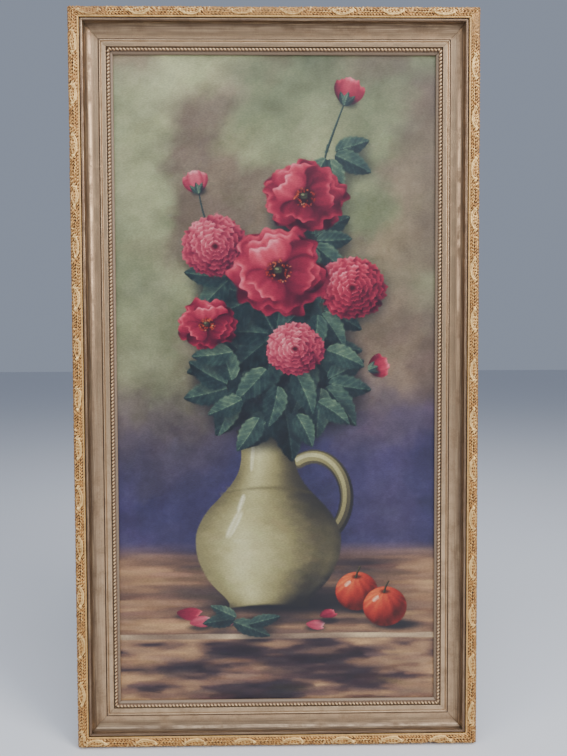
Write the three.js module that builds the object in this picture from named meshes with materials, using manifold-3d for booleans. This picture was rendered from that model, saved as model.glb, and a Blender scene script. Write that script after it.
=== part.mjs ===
// A framed oil painting, made to hang upright on a wall.
//
// Units are millimetres and +Z is up. The picture faces -Y, and the frame's flat back lies in the plane
// y = 0. The origin is the middle of the flat back of the top rail, where the frame bears on the wall.
//
// A moulding's section is drawn with two sizes: inward, from the frame's outermost edge towards the picture,
// and forward, from the flat back towards the viewer. Each side of the frame is made lying along X as the
// top side lies, about the middle of the frame, and is turned about Y to its own place.
import * as THREE from "three";
import { mergeVertices } from "three/addons/utils/BufferGeometryUtils.js";
import Module from "manifold-3d";

const wasm = await Module();
wasm.setup();

// ---- Driving sizes ----

const frameWidth = 556;
const frameHeight = 1010;
const jointGap = 0.3; // between pieces that touch
const curveSteps = 6;

// the moulding's section
const woodSide = 3;
const rebateWall = 47;
const sightEdge = 57;
const rebateSeat = 27.5;
const sightLip = 29;
const beadSeat = { from: 48.9, to: 55, forward: 31 };
const band = { from: 42.6, to: 48.5, forward: 34.8, tilt: 0.7 }; // it tilts down towards the picture
const bandRidge = { from: 40, to: 41.1, forward: 35.3 };
const bandGroove = { inward: 41.9, forward: 34 };
const quirk = { inward: 39.4, forward: 33.1 };
const cove = { inward: 38.4, forward: 47.2, across: 16.6, deep: 13.4 };
const fillet = { from: 18.5, to: 21.8, forward: 47.2, crown: 0.9 };
const ornamentSeat = [
  [woodSide, 35.5],
  [woodSide, 40],
  [5.5, 44],
  [10, 45.8],
  [17.5, 45.2],
];

// the pressed ornament: a pointed lens, then a fan of lobes, over and over
const ornamentLower = [1.6, 35.8];
const ornamentOuter = [0, 42.4];
const ornamentCarved = [
  [3.6, 47.6],
  [9.3, 49.2],
  [14, 48.4],
];
const ornamentStrip = [15.4, 47.8];
const ornamentInner = [17.3, 47.7];
const repeatLength = 67.8;
const columnsPerRepeat = 14;
const lensHalfLength = 10.5;
const lensRise = 1.8;
const lensRimRise = 0.9;
const lobeRise = 1.4;
const lobeSink = 0.5;
const lobeLean = 2.6;
const endMargin = 1; // how far the pattern and the beads stop short of a mitre

// the bead course: slanted beads like the twist of a rope
const beads = { outer: 49.3, inner: 54.3, base: 31.3, gapTop: 32.2, crest: 34.3, pitch: 4.87, lean: 0.6 };

// the canvas, 18 by 36 inches, and its stretcher
const canvasWidth = 457;
const canvasHeight = 914;
const canvasThickness = 1;
const canvasFront = rebateSeat - jointGap;
const canvasRim = 9.2;
const stretcherBack = 8.9;
const barWidth = 45;
const barRim = 6;
const barBevel = 3.4;

// the keys driven into the stretcher's corners
const key = { thickness: 4, fromCorner: 12, length: 34, depth: 12, stands: 9, taper: 5 };

// the nails and the screw eyes
const brad = { radius: 0.9, head: 1.5, headDepth: 0.9, length: 24, stands: 11 };
const bradsFromMiddle = { rail: 130, stile: 270 };
const eye = { ring: 5.5, wire: 1.2, shank: 1.4, length: 17, stands: 4, forward: 4.4, below: 250 };
const nailSides = 6;
const ringSides = { wire: 5, round: 12 };
const drill = { clearance: 0.3, sides: 8 };
const cutterStart = 1; // how far a cutter starts clear of what it cuts

const backLandMiddle = (woodSide + rebateWall) / 2;
const rebateHeight = frameHeight - 2 * rebateWall;
const canvasDrop = (rebateHeight - canvasHeight) / 2 - jointGap; // the canvas rests on the bottom rail
const barBlankFront = canvasFront - canvasThickness - jointGap;
const stretcherWidth = canvasWidth - 2 * (canvasThickness + jointGap);
const stretcherHeight = canvasHeight - 2 * (canvasThickness + jointGap);

// The four sides, clockwise as the viewer sees them. Reach is from the frame's middle to the side's outer
// edge, and firstLens is the middle of the side's first lens, from its start.
const rail = { kind: "rail", length: frameWidth, reach: frameHeight / 2 };
const stile = { kind: "stile", length: frameHeight, reach: frameWidth / 2 };
const sides = [
  { ...rail, place: "top", turn: 0, firstLens: 30 },
  { ...stile, place: "right", turn: Math.PI / 2, firstLens: 14 },
  { ...rail, place: "bottom", turn: Math.PI, firstLens: 53 },
  { ...stile, place: "left", turn: -Math.PI / 2, firstLens: 10 },
];

// ---- Finishes ----

const bronzedWood = { color: 0x8a7358, roughness: 0.45, metalness: 0.35 };
const giltComposition = { color: 0xc29a5e, roughness: 0.5, metalness: 0.4 };
const paintedCanvas = { color: 0x6f6147, roughness: 0.55, metalness: 0 };
const pine = { color: 0xb08a5a, roughness: 0.8, metalness: 0 };
const beech = { color: 0xc8a675, roughness: 0.75, metalness: 0 };
const steel = { color: 0x6b6a68, roughness: 0.45, metalness: 1 };
const brass = { color: 0xa8864a, roughness: 0.4, metalness: 1 };

function piece(name, geometry, finish) {
  const mesh = new THREE.Mesh(geometry, new THREE.MeshStandardMaterial(finish));
  mesh.name = name;
  return mesh;
}

// ---- Cutting and joining ----

// The closed solid of a geometry, with its equal points merged.
function solidOf(geometry) {
  const bare = geometry.clone();
  bare.deleteAttribute("normal");
  bare.deleteAttribute("uv");
  const merged = mergeVertices(bare, 1e-3);
  return new wasm.Manifold(
    new wasm.Mesh({
      numProp: 3,
      vertProperties: merged.attributes.position.array,
      triVerts: new Uint32Array(merged.index.array),
    }),
  );
}

function geometryOf(solid) {
  const mesh = solid.getMesh();
  const geometry = new THREE.BufferGeometry();
  geometry.setAttribute("position", new THREE.BufferAttribute(mesh.vertProperties, 3));
  geometry.setIndex(new THREE.BufferAttribute(mesh.triVerts, 1));
  geometry.computeVertexNormals();
  return geometry;
}

// A geometry with each of the cutters taken away.
function cutAway(geometry, cutters) {
  let solid = solidOf(geometry);
  for (const cutter of cutters) {
    solid = solid.subtract(solidOf(cutter));
  }
  return geometryOf(solid);
}

// ---- Mitred lengths ----

// How far from the middle of a side its mitre lies, at a distance inward.
function mitreAt(length, inward) {
  return length / 2 - inward - jointGap / Math.SQRT2;
}

// A straight length of one section, with both ends mitred.
function mitredLength(section, length, reach) {
  const options = { depth: 1, bevelEnabled: false, curveSegments: curveSteps };
  const geometry = new THREE.ExtrudeGeometry(section, options);
  const points = geometry.attributes.position;
  for (let i = 0; i < points.count; i++) {
    const inward = points.getX(i);
    const end = 1 - 2 * points.getZ(i);
    points.setXYZ(i, end * mitreAt(length, inward), -points.getY(i), reach - inward);
  }
  return geometry;
}

// Triangles between two rows of points that run the same way, always across the shorter diagonal.
function stitch(first, second, points, faces) {
  const apart = (a, b) => Math.hypot(...points[a].map((value, axis) => value - points[b][axis]));
  let i = 0;
  let j = 0;
  while (i < first.length - 1 || j < second.length - 1) {
    const firstDone = i === first.length - 1;
    const secondDone = j === second.length - 1;
    const stepFirst =
      secondDone || (!firstDone && apart(first[i + 1], second[j]) <= apart(first[i], second[j + 1]));
    if (stepFirst) {
      faces.push(first[i], first[i + 1], second[j]);
      i += 1;
    } else {
      faces.push(first[i], second[j + 1], second[j]);
      j += 1;
    }
  }
}

// A mitred length whose section is a ring of rows. A row has the inward and forward of its two ends, and the
// points that stand between them, each [along, inward, forward].
function mitredRows(rows, length, reach) {
  const points = [];
  const faces = [];
  const indices = rows.map(({ at: [inward, forward], between = [] }) => {
    const end = mitreAt(length, inward);
    const row = [[-end, inward, forward], ...between, [end, inward, forward]];
    return row.map(([x, across, out]) => points.push([x, -out, reach - across]) - 1);
  });
  indices.forEach((row, k) => stitch(row, indices[(k + 1) % indices.length], points, faces));
  const outline = rows.map(({ at }) => new THREE.Vector2(...at));
  for (const corners of THREE.ShapeUtils.triangulateShape(outline, [])) {
    const [a, b, c] = corners.map((k) => indices[k]);
    faces.push(a[0], b[0], c[0]);
    faces.push(c[c.length - 1], b[b.length - 1], a[a.length - 1]);
  }
  const geometry = new THREE.BufferGeometry();
  geometry.setAttribute("position", new THREE.Float32BufferAttribute(points.flat(), 3));
  geometry.setIndex(faces);
  geometry.computeVertexNormals();
  return geometry;
}

// Evenly spaced places along a row that stay clear of its mitres.
function placesAlong(length, inward, start, spacing) {
  const limit = mitreAt(length, inward) - spacing / 2;
  const places = [];
  for (let n = Math.ceil((-limit - start) / spacing); start + n * spacing <= limit; n++) {
    places.push(start + n * spacing);
  }
  return places;
}

// ---- The wooden moulding ----

function mouldingSection() {
  const section = new THREE.Shape();
  section.moveTo(woodSide, 0);
  section.lineTo(rebateWall, 0);
  section.lineTo(rebateWall, rebateSeat);
  section.lineTo(sightEdge, rebateSeat);
  section.lineTo(sightEdge, sightLip);
  section.lineTo(beadSeat.to, beadSeat.forward);
  section.lineTo(beadSeat.from, beadSeat.forward);
  section.lineTo(band.to, band.forward - band.tilt);
  section.lineTo(band.from, band.forward);
  section.lineTo(bandGroove.inward, bandGroove.forward);
  section.lineTo(bandRidge.to, bandRidge.forward);
  section.lineTo(bandRidge.from, bandRidge.forward);
  section.lineTo(quirk.inward, quirk.forward);
  section.absellipse(cove.inward, cove.forward, cove.across, cove.deep, -Math.PI / 2, -Math.PI, true, 0);
  const crown = (fillet.from + fillet.to) / 2;
  section.quadraticCurveTo(crown, fillet.forward + fillet.crown, fillet.from, fillet.forward);
  section.lineTo(fillet.from, ornamentSeat.at(-1)[1]);
  for (const [inward, forward] of ornamentSeat.toReversed()) {
    section.lineTo(inward, forward);
  }
  section.closePath();
  return section;
}

// A hole drilled outward into the rebate wall, at a place along the side.
function drilledHole(radius, depth, along, forward, reach) {
  const hole = new THREE.CylinderGeometry(radius, radius, depth + cutterStart, drill.sides);
  hole.rotateX(Math.PI / 2);
  hole.translate(along, -forward, reach - rebateWall + (depth - cutterStart) / 2);
  return hole;
}

const bradForward = stretcherBack - jointGap - brad.head;

function bradPlaces(side) {
  return [-bradsFromMiddle[side.kind], bradsFromMiddle[side.kind]];
}

// The screw eyes' place along a stile: below the top edge on both, though the two stiles run opposite ways.
function eyePlace(side) {
  return (side.place === "right" ? -1 : 1) * (frameHeight / 2 - eye.below);
}

function mouldingLength(side) {
  const holes = bradPlaces(side).map((along) => {
    const depth = brad.length - brad.stands + drill.clearance;
    return drilledHole(brad.radius + drill.clearance, depth, along, bradForward, side.reach);
  });
  if (side.kind === "stile") {
    const depth = eye.length - eye.stands + drill.clearance;
    holes.push(drilledHole(eye.shank + drill.clearance, depth, eyePlace(side), eye.forward, side.reach));
  }
  return cutAway(mitredLength(mouldingSection(), side.length, side.reach), holes);
}

// ---- The pressed ornament ----

// How far the pattern rises, at a distance along from the middle of a lens. Across is -1 on the outer carved
// row, 0 on the crest and 1 on the inner one. The lens has a rim on each side, and the lobes come and go in a
// wave whose last crest is the middle lobe of the fan, half a repeat away.
function patternRise(along, across) {
  const fromLens = Math.abs(along);
  if (fromLens < lensHalfLength) {
    const swell = Math.sqrt(1 - (fromLens / lensHalfLength) ** 2);
    return swell * (across === 0 ? lensRise : lensRimRise);
  }
  const fromFan = repeatLength / 2 - fromLens;
  const wave = Math.cos((Math.PI * fromFan * columnsPerRepeat) / repeatLength);
  return wave > 0 ? wave * lobeRise : wave * lobeSink;
}

// Each lobe leans away from the middle of its fan towards the frame's outer edge.
function lobeShift(along, across) {
  return Math.abs(along) < lensHalfLength ? 0 : Math.sign(along) * across * lobeLean;
}

function ornamentLength(side) {
  const start = side.firstLens - side.length / 2;
  const edgeRow = ([inward, forward]) => {
    const places = placesAlong(side.length, inward, start, repeatLength / 2);
    return { at: [inward, forward], between: places.map((along) => [along, inward, forward]) };
  };
  const carvedRow = ([inward, forward], k) => {
    const columns = placesAlong(side.length, inward, start, repeatLength / columnsPerRepeat);
    const between = columns.map((column) => {
      const along = column - start - repeatLength * Math.round((column - start) / repeatLength);
      const atFan = Math.abs(along) > (repeatLength * (columnsPerRepeat - 1)) / (2 * columnsPerRepeat);
      const shift = atFan ? 0 : lobeShift(along, k - 1);
      return [column + shift, inward, forward + patternRise(along, k - 1)];
    });
    const end = mitreAt(side.length, inward) - endMargin;
    return { at: [inward, forward], between: between.filter(([along]) => Math.abs(along) < end) };
  };
  const underside = ornamentSeat.map(([inward, forward]) => {
    return { at: [inward - jointGap, forward + jointGap] };
  });
  const rows = [
    ...underside,
    edgeRow(ornamentInner),
    edgeRow(ornamentStrip),
    ...ornamentCarved.map(carvedRow).toReversed(),
    edgeRow(ornamentOuter),
    { at: ornamentLower },
  ];
  return mitredRows(rows, side.length, side.reach);
}

// ---- The bead course ----

function beadLength(side) {
  const middle = (beads.outer + beads.inner) / 2;
  const count = Math.round((side.length - 2 * middle) / beads.pitch);
  const pitch = (side.length - 2 * middle) / count;
  const start = count % 2 ? pitch / 2 : 0;
  const placesOn = (inward, spacing) =>
    placesAlong(side.length, middle, start, spacing)
      .map((place) => place + (inward - middle) * beads.lean)
      .filter((place) => Math.abs(place) < mitreAt(side.length, inward) - endMargin);
  const edgeRow = (inward) => ({
    at: [inward, beads.base],
    between: placesOn(inward, 2 * pitch).map((along) => [along, inward, beads.base]),
  });
  const crest = placesOn(middle, pitch).flatMap((along) => [
    [along, middle, beads.gapTop],
    [along + pitch / 2, middle, beads.crest],
  ]);
  const crestRow = { at: [middle, beads.gapTop], between: crest.slice(0, -1) };
  const rows = [edgeRow(beads.outer), edgeRow(beads.inner), crestRow];
  return mitredRows(rows, side.length, side.reach);
}

// ---- The canvas and its stretcher ----

// A box between two distances forward of the frame's back, centred on the picture.
function boxForward(width, height, back, front) {
  const box = new THREE.BoxGeometry(width, front - back, height);
  box.translate(0, -(front + back) / 2, 0);
  return box;
}

function canvasShell() {
  const outer = boxForward(canvasWidth, canvasHeight, canvasRim, canvasFront);
  const insideWidth = canvasWidth - 2 * canvasThickness;
  const insideHeight = canvasHeight - 2 * canvasThickness;
  return cutAway(outer, [boxForward(insideWidth, insideHeight, 0, canvasFront - canvasThickness)]);
}

function barSection() {
  const section = new THREE.Shape();
  section.moveTo(0, stretcherBack);
  section.lineTo(barWidth, stretcherBack);
  section.lineTo(barWidth, barBlankFront - barBevel);
  section.lineTo(barRim, barBlankFront);
  section.lineTo(0, barBlankFront);
  section.closePath();
  return section;
}

// A stretcher side's own length and reach, from those of the frame's side that it lies behind.
function stretcherSide(side) {
  const upright = side.kind === "stile";
  return {
    length: upright ? stretcherHeight : stretcherWidth,
    reach: (upright ? stretcherWidth : stretcherHeight) / 2,
  };
}

// The slot that takes a key, at one end (-1 or 1) of a bar, open along the bar's inner edge.
function keySlot(bar, end) {
  const length = key.length + 2 * jointGap;
  const depth = key.depth + jointGap;
  const slot = new THREE.BoxGeometry(length, key.thickness + 2 * jointGap, depth + cutterStart);
  const x = end * (bar.length / 2 - barWidth - key.fromCorner - key.length / 2);
  const z = bar.reach - barWidth + (depth - cutterStart) / 2;
  slot.translate(x, -(stretcherBack + barBlankFront) / 2, z);
  return slot;
}

function stretcherBar(side) {
  const bar = stretcherSide(side);
  return cutAway(mitredLength(barSection(), bar.length, bar.reach), [keySlot(bar, -1), keySlot(bar, 1)]);
}

// A wedge, thick at the corner and thin away from it, driven into its slot with its edge standing out.
function stretcherKey(side, end) {
  const bar = stretcherSide(side);
  const outline = new THREE.Shape();
  outline.moveTo(0, key.depth);
  outline.lineTo(0, -key.stands);
  outline.lineTo(-end * key.length, -key.stands + key.taper / 2);
  outline.lineTo(-end * key.length, key.depth - key.taper);
  outline.closePath();
  const wedge = new THREE.ExtrudeGeometry(outline, { depth: key.thickness, bevelEnabled: false });
  wedge.rotateX(Math.PI / 2);
  wedge.translate(
    end * (bar.length / 2 - barWidth - key.fromCorner),
    (key.thickness - stretcherBack - barBlankFront) / 2,
    bar.reach - barWidth,
  );
  return wedge;
}

// ---- Nails and screw eyes ----

// A nail with a flat head, pointing outward into the rebate wall, whose head bears on the stretcher's back.
function bradNail(side, along) {
  const profile = [
    [0, 0],
    [brad.head, 0],
    [brad.head, brad.headDepth],
    [brad.radius, brad.headDepth],
    [brad.radius, brad.length - 2 * brad.radius],
    [0, brad.length],
  ];
  const nail = new THREE.LatheGeometry(profile.map(([x, y]) => new THREE.Vector2(x, y)), nailSides);
  nail.rotateX(Math.PI / 2);
  nail.translate(along, -bradForward, side.reach - rebateWall - brad.stands);
  return nail;
}

// A ring of wire on a straight shank that screws outward into the rebate wall, flat within the frame's depth.
function screwEye(side) {
  const shank = new THREE.CylinderGeometry(eye.shank, eye.shank, eye.length, nailSides);
  shank.rotateX(Math.PI / 2);
  shank.translate(0, 0, eye.length / 2);
  const ring = new THREE.TorusGeometry(eye.ring, eye.wire, ringSides.wire, ringSides.round);
  ring.rotateX(Math.PI / 2);
  ring.translate(0, 0, eye.wire / 2 - eye.ring);
  const joined = geometryOf(solidOf(shank).add(solidOf(ring)));
  joined.translate(eyePlace(side), -eye.forward, side.reach - rebateWall - eye.stands);
  return joined;
}

// ---- The whole, about the middle of the frame ----

const picture = new THREE.Group();
picture.position.z = backLandMiddle - frameHeight / 2;

const stretched = new THREE.Group(); // the canvas on its stretcher
stretched.position.z = -canvasDrop;
stretched.add(piece("canvas", canvasShell(), paintedCanvas));
picture.add(stretched);

sides.forEach((side, n) => {
  const turned = new THREE.Group();
  turned.rotation.y = side.turn;
  turned.add(piece(`${side.kind}_${side.place}`, mouldingLength(side), bronzedWood));
  turned.add(piece(`ornament_${side.place}`, ornamentLength(side), giltComposition));
  turned.add(piece(`bead_course_${side.place}`, beadLength(side), giltComposition));
  bradPlaces(side).forEach((along, k) => {
    turned.add(piece(`brad_${2 * n + k + 1}`, bradNail(side, along), steel));
  });
  if (side.kind === "stile") {
    turned.add(piece(`screw_eye_${side.place}`, screwEye(side), brass));
  }
  picture.add(turned);

  const turnedBar = new THREE.Group();
  turnedBar.rotation.y = side.turn;
  turnedBar.add(piece(`stretcher_${side.place}`, stretcherBar(side), pine));
  [-1, 1].forEach((end, k) => {
    turnedBar.add(piece(`stretcher_key_${2 * n + k + 1}`, stretcherKey(side, end), beech));
  });
  stretched.add(turnedBar);
});

const group = new THREE.Group();
group.add(picture);

export default group;
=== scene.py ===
"""The looks of a framed oil painting that hangs flat on a wall.

Every length is in metres unless its name ends in _mm. The frame's four sides are made alike: a point on a
side has an along (to the right as the top side lies, then clockwise), an inward (from the frame's outermost
edge towards the picture) and a forward (from the flat back towards the viewer), all in millimetres.
"""
import math
from dataclasses import dataclass

import bpy
import numpy as np
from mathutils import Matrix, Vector


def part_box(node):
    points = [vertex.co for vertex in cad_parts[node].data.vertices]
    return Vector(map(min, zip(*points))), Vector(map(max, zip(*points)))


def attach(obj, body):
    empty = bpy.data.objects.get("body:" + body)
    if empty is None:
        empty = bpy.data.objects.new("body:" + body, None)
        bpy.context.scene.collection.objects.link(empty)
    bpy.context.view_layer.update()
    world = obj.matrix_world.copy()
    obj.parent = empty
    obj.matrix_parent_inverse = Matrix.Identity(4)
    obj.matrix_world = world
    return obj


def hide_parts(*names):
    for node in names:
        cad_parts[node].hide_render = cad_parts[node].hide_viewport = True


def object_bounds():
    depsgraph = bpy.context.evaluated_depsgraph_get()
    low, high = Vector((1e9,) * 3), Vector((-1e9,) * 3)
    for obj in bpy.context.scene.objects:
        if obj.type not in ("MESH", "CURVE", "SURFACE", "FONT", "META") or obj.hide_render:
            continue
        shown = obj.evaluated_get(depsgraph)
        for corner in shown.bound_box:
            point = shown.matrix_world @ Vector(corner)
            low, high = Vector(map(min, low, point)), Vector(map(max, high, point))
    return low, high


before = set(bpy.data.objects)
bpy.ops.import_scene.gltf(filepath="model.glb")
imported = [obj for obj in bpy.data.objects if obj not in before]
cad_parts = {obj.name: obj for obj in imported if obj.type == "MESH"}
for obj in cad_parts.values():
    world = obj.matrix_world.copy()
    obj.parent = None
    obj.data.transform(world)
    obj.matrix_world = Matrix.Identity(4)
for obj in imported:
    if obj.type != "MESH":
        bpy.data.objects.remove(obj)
cad_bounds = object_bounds()

# ---------------------------------------------------------------- sizes

MM = 0.001
JOINT_GAP_MM = 0.3

lowest, highest = cad_bounds
FRAME_WIDTH_MM = (highest.x - lowest.x) / MM
FRAME_HEIGHT_MM = (highest.z - lowest.z) / MM
DEPTH_MM = -lowest.y / MM
FRAME_MIDDLE_Z = (highest.z + lowest.z) / 2
CANVAS_LOW, CANVAS_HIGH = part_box("canvas")
SIGHT_INWARD_MM = 57.0
WOOD_SIDE_MM = 3.0
REBATE_INWARD_MM = 47.0
REBATE_SEAT_MM = 27.5
MITRE_ZONE_MM = 75  # at each end of a side, where the steps lean round to the mitre


@dataclass
class Side:
    """One side of the frame: its outer length, its outer edge's distance from the middle, its turn clockwise
    in quarter turns, and the place of its first lens, in mm from its start."""

    place: str
    rail: str
    length: float
    reach: float
    quarters: int
    first_lens: float

    def points(self, along, inward, forward):
        """The top side's place (along, reach - inward), turned clockwise by quarter turns, in metres."""
        right, up = along, self.reach - inward
        for _ in range(self.quarters):
            right, up = up, -right
        return np.stack([right * MM, -forward * MM, up * MM + FRAME_MIDDLE_Z], axis=-1)

    def mitre(self, inward):
        """How far from the side's middle its mitre lies, at a distance inward."""
        return self.length / 2 - inward - JOINT_GAP_MM / math.sqrt(2)


SIDES = [
    Side("top", "rail_top", FRAME_WIDTH_MM, FRAME_HEIGHT_MM / 2, 0, 30),
    Side("right", "stile_right", FRAME_HEIGHT_MM, FRAME_WIDTH_MM / 2, 1, 14),
    Side("bottom", "rail_bottom", FRAME_WIDTH_MM, FRAME_HEIGHT_MM / 2, 2, 53),
    Side("left", "stile_left", FRAME_HEIGHT_MM, FRAME_WIDTH_MM / 2, 3, 10),
]

# ---------------------------------------------------------------- numbers that look random


def lattice_noise(x, y, seed):
    """Smooth noise from 0 to 1: random heights on a grid of whole numbers, blended by 3t^2 - 2t^3 between."""
    heights = np.random.default_rng(seed).random((64, 64))
    i, j = np.floor(x).astype(int), np.floor(y).astype(int)
    s, t = x - i, y - j
    s, t = s * s * (3 - 2 * s), t * t * (3 - 2 * t)
    i0, i1, j0, j1 = i % 64, (i + 1) % 64, j % 64, (j + 1) % 64
    near = heights[i0, j0] * (1 - s) + heights[i1, j0] * s
    far = heights[i0, j1] * (1 - s) + heights[i1, j1] * s
    return near * (1 - t) + far * t


def cloud(x, y, seed, octaves=3):
    """Lattice noise at doubling fineness and halving strength, summed and brought back to 0 to 1."""
    total, weight = 0.0, 0.0
    for k in range(octaves):
        total = total + lattice_noise(x * 2**k, y * 2**k, seed + k) / 2**k
        weight += 1 / 2**k
    return total / weight


def smoothstep(low_edge, high_edge, value):
    """0 up to the low edge, 1 from the high one, and 3t^2 - 2t^3 between them."""
    t = np.clip((value - low_edge) / (high_edge - low_edge), 0, 1)
    return t * t * (3 - 2 * t)


# ---------------------------------------------------------------- meshes


def make_piece(name, points, faces, attributes=None, sharp_angle=None):
    """A mesh object with its place in its mesh. attributes is {name: one number or three per point}."""
    mesh = bpy.data.meshes.new(name)
    mesh.from_pydata(points.reshape(-1, 3), [], faces)
    for key, values in (attributes or {}).items():
        values = np.asarray(values, dtype=np.float32)
        if values.ndim == 1:
            mesh.attributes.new(key, "FLOAT", "POINT").data.foreach_set("value", values)
        else:
            mesh.attributes.new(key, "FLOAT_VECTOR", "POINT").data.foreach_set("vector", values.ravel())
    mesh.polygons.foreach_set("use_smooth", np.ones(len(mesh.polygons), dtype=bool))
    if sharp_angle is not None:
        mesh.set_sharp_from_angle(angle=math.radians(sharp_angle))
    mesh.update()
    piece = bpy.data.objects.new(name, mesh)
    bpy.context.scene.collection.objects.link(piece)
    return piece


def tube_faces(rows, around):
    """Quads between rows of points that run round a closed section, and a cap on each end."""
    i, j = np.meshgrid(np.arange(rows - 1), np.arange(around), indexing="ij")
    k = (j + 1) % around
    quads = np.stack([i * around + j, (i + 1) * around + j, (i + 1) * around + k, i * around + k], axis=-1)
    start = list(range(around))
    end = [(rows - 1) * around + j for j in reversed(range(around))]
    return quads.reshape(-1, 4).tolist() + [start, end]


def mitred_run(side, steps, inward):
    """Places along a side, one row per step. They are even, but near each end they crowd so that each column
    ends on the mitre of its own inward distance:
    place = edge + (even - edge) * (mitre - edge) / (half - edge)."""
    half = side.length / 2
    even = np.linspace(-half, half, steps)[:, None]
    edge = half - MITRE_ZONE_MM
    mitre = side.mitre(inward)[None, :]
    near_end = edge + (np.abs(even) - edge) * (mitre - edge) / (half - edge)
    return np.where(np.abs(even) < edge, even + 0 * mitre, np.sign(even) * near_end)


def smooth_path(points, count):
    """A Catmull-Rom curve through points, as count points at even distances along it."""
    p = np.asarray(points, dtype=float)
    p = np.vstack([2 * p[0] - p[1], p, 2 * p[-1] - p[-2]])
    t = np.linspace(0, 1, 24, endpoint=False)[:, None, None]
    a, b, c, d = p[:-3], p[1:-2], p[2:-1], p[3:]
    curve = 0.5 * (2 * b + (c - a) * t + (2 * a - 5 * b + 4 * c - d) * t**2 + (3 * b - a - 3 * c + d) * t**3)
    dense = np.vstack([curve.transpose(1, 0, 2).reshape(-1, 2), p[-2]])
    run = np.concatenate([[0], np.cumsum(np.hypot(*np.diff(dense, axis=0).T))])
    at = np.linspace(0, run[-1], count)
    return np.column_stack([np.interp(at, run, dense[:, k]) for k in (0, 1)]), at


def rounded_outline(corners):
    """A closed outline of (inward, forward, cut) corners, each turned by the curve that starts cut before it
    and ends cut after it: (1-t)^2 before + 2t(1-t) corner + t^2 after. A cut of 0 keeps the point."""
    p = np.array([c[:2] for c in corners], dtype=float)
    cuts = np.array([c[2] for c in corners], dtype=float)
    outline = []
    for k, corner in enumerate(p):
        if cuts[k] == 0:
            outline.append(corner)
            continue
        before, after = p[k - 1] - corner, p[(k + 1) % len(p)] - corner
        before = corner + before / np.hypot(*before) * cuts[k]
        after = corner + after / np.hypot(*after) * cuts[k]
        for t in (0, 0.25, 0.5, 0.75, 1):
            outline.append((1 - t) ** 2 * before + 2 * t * (1 - t) * corner + t**2 * after)
    return np.array(outline)


def run_of(side, along, across):
    """Each point's place along and across its side in metres, and the side's number, so that grain turns with
    the side and differs from one side to the next."""
    return np.stack(np.broadcast_arrays(along * MM, across * MM, side.quarters * 1.0), axis=-1).reshape(-1, 3)


# ---------------------------------------------------------------- the wooden moulding

COVE_TOE_MM = 38.4  # inward, where the cove starts flat
COVE_ACROSS_MM = 16.6
COVE_TOP_MM = 47.2  # forward, where it ends upright
COVE_DEEP_MM = 13.4
COVE_POINTS = 22
MOULDING_STEPS = 60


def cove_arc():
    """A quarter of an ellipse, from its flat inner end to its steep outer one, as uncut corners."""
    turn = np.linspace(0, math.pi / 2, COVE_POINTS)
    inward = [COVE_TOE_MM - COVE_ACROSS_MM * math.sin(t) for t in turn]
    forward = [COVE_TOP_MM - COVE_DEEP_MM * math.cos(t) for t in turn]
    return [(i, f, 0) for i, f in zip(inward, forward)]


def moulding_outline():
    """The wooden moulding's section, anticlockwise from the back's outer corner."""
    crown = [(21.0, 47.9, 0), (20.1, 48.1, 0), (19.2, 47.8, 0)]
    return rounded_outline([
        (WOOD_SIDE_MM, 0, 0.6), (REBATE_INWARD_MM, 0, 0.5), (REBATE_INWARD_MM, REBATE_SEAT_MM, 0.2),
        (SIGHT_INWARD_MM, REBATE_SEAT_MM, 0.3), (SIGHT_INWARD_MM, 29.2, 0.5), (54.9, 31.1, 0.4),
        (48.9, 31.0, 0.25), (48.5, 34.1, 0.6), (43.1, 34.9, 0.7), (42.1, 33.6, 0.3), (41.2, 35.4, 0.4),
        (40.1, 35.3, 0.4), (39.5, 32.8, 0.2), *cove_arc(), *crown,
        (18.6, 47.0, 0.3), (18.5, 45.2, 0.2), (17.5, 45.2, 0.2), (10, 45.8, 0), (5.5, 44, 0),
        (WOOD_SIDE_MM, 40, 0.3),
    ])


def build_moulding(side):
    """The section carried along the side between its mitres, with a slow waver of a tenth of a millimetre in
    how far forward it stands, as planed wood has."""
    outline = moulding_outline()
    inward, forward = outline.T
    along = mitred_run(side, MOULDING_STEPS, inward)
    waver = (lattice_noise(along / 140 + 9, inward[None, :] / 60, 5 + side.quarters) - 0.5) * 0.2
    faced = smoothstep(28, 34, forward)[None, :]
    points = side.points(along, inward[None, :] + 0 * along, forward[None, :] + waver * faced)
    around = np.concatenate([[0], np.cumsum(np.hypot(*np.diff(outline, axis=0).T))])
    attributes = {
        "run": run_of(side, along, around[None, :]),
        "inward": np.broadcast_to(inward[None, :], along.shape).ravel(),
        "forward": np.broadcast_to(forward[None, :], along.shape).ravel(),
    }
    piece = make_piece(f"moulding_{side.place}", points, tube_faces(*along.shape), attributes, 38)
    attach(piece, "root")
    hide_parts(side.rail)
    return piece


# ---------------------------------------------------------------- the pressed ornament

REPEAT_MM = 67.8
SMALL_LEAF_MM = REPEAT_MM / 16
SMALL_LEAF_ROW_MM = 3.3
LENS_ACROSS_MM = 6.9  # from the plain strip to the lens's middle
CARVED_MM = 25.0  # from the plain strip over the crest and down the side
GROUND_MM = -1.2
ALONG_STEP_MM = 0.8
POINTS_ACROSS = 46
CARVED_PATH = [  # (inward, forward), from the plain strip outwards and down the side
    (15.2, 47.7), (12.8, 48.35), (9.6, 48.8), (6.6, 48.3), (4.0, 46.7), (2.2, 43.6), (1.7, 39.6), (2.0, 36.1),
]
PLAIN_STRIP = [(17.1, 45.75), (17.2, 46.9), (17.0, 47.45), (16.5, 47.7), (15.9, 47.75), (15.45, 47.6)]
UNDERSIDE = [(2.6, 35.9), (2.7, 40.3), (5.2, 44.3), (9.7, 46.1)]


def along_repeat(u):
    """A distance along, brought into the repeat of the pattern that is centred on it."""
    return (u + REPEAT_MM / 2) % REPEAT_MM - REPEAT_MM / 2


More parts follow.
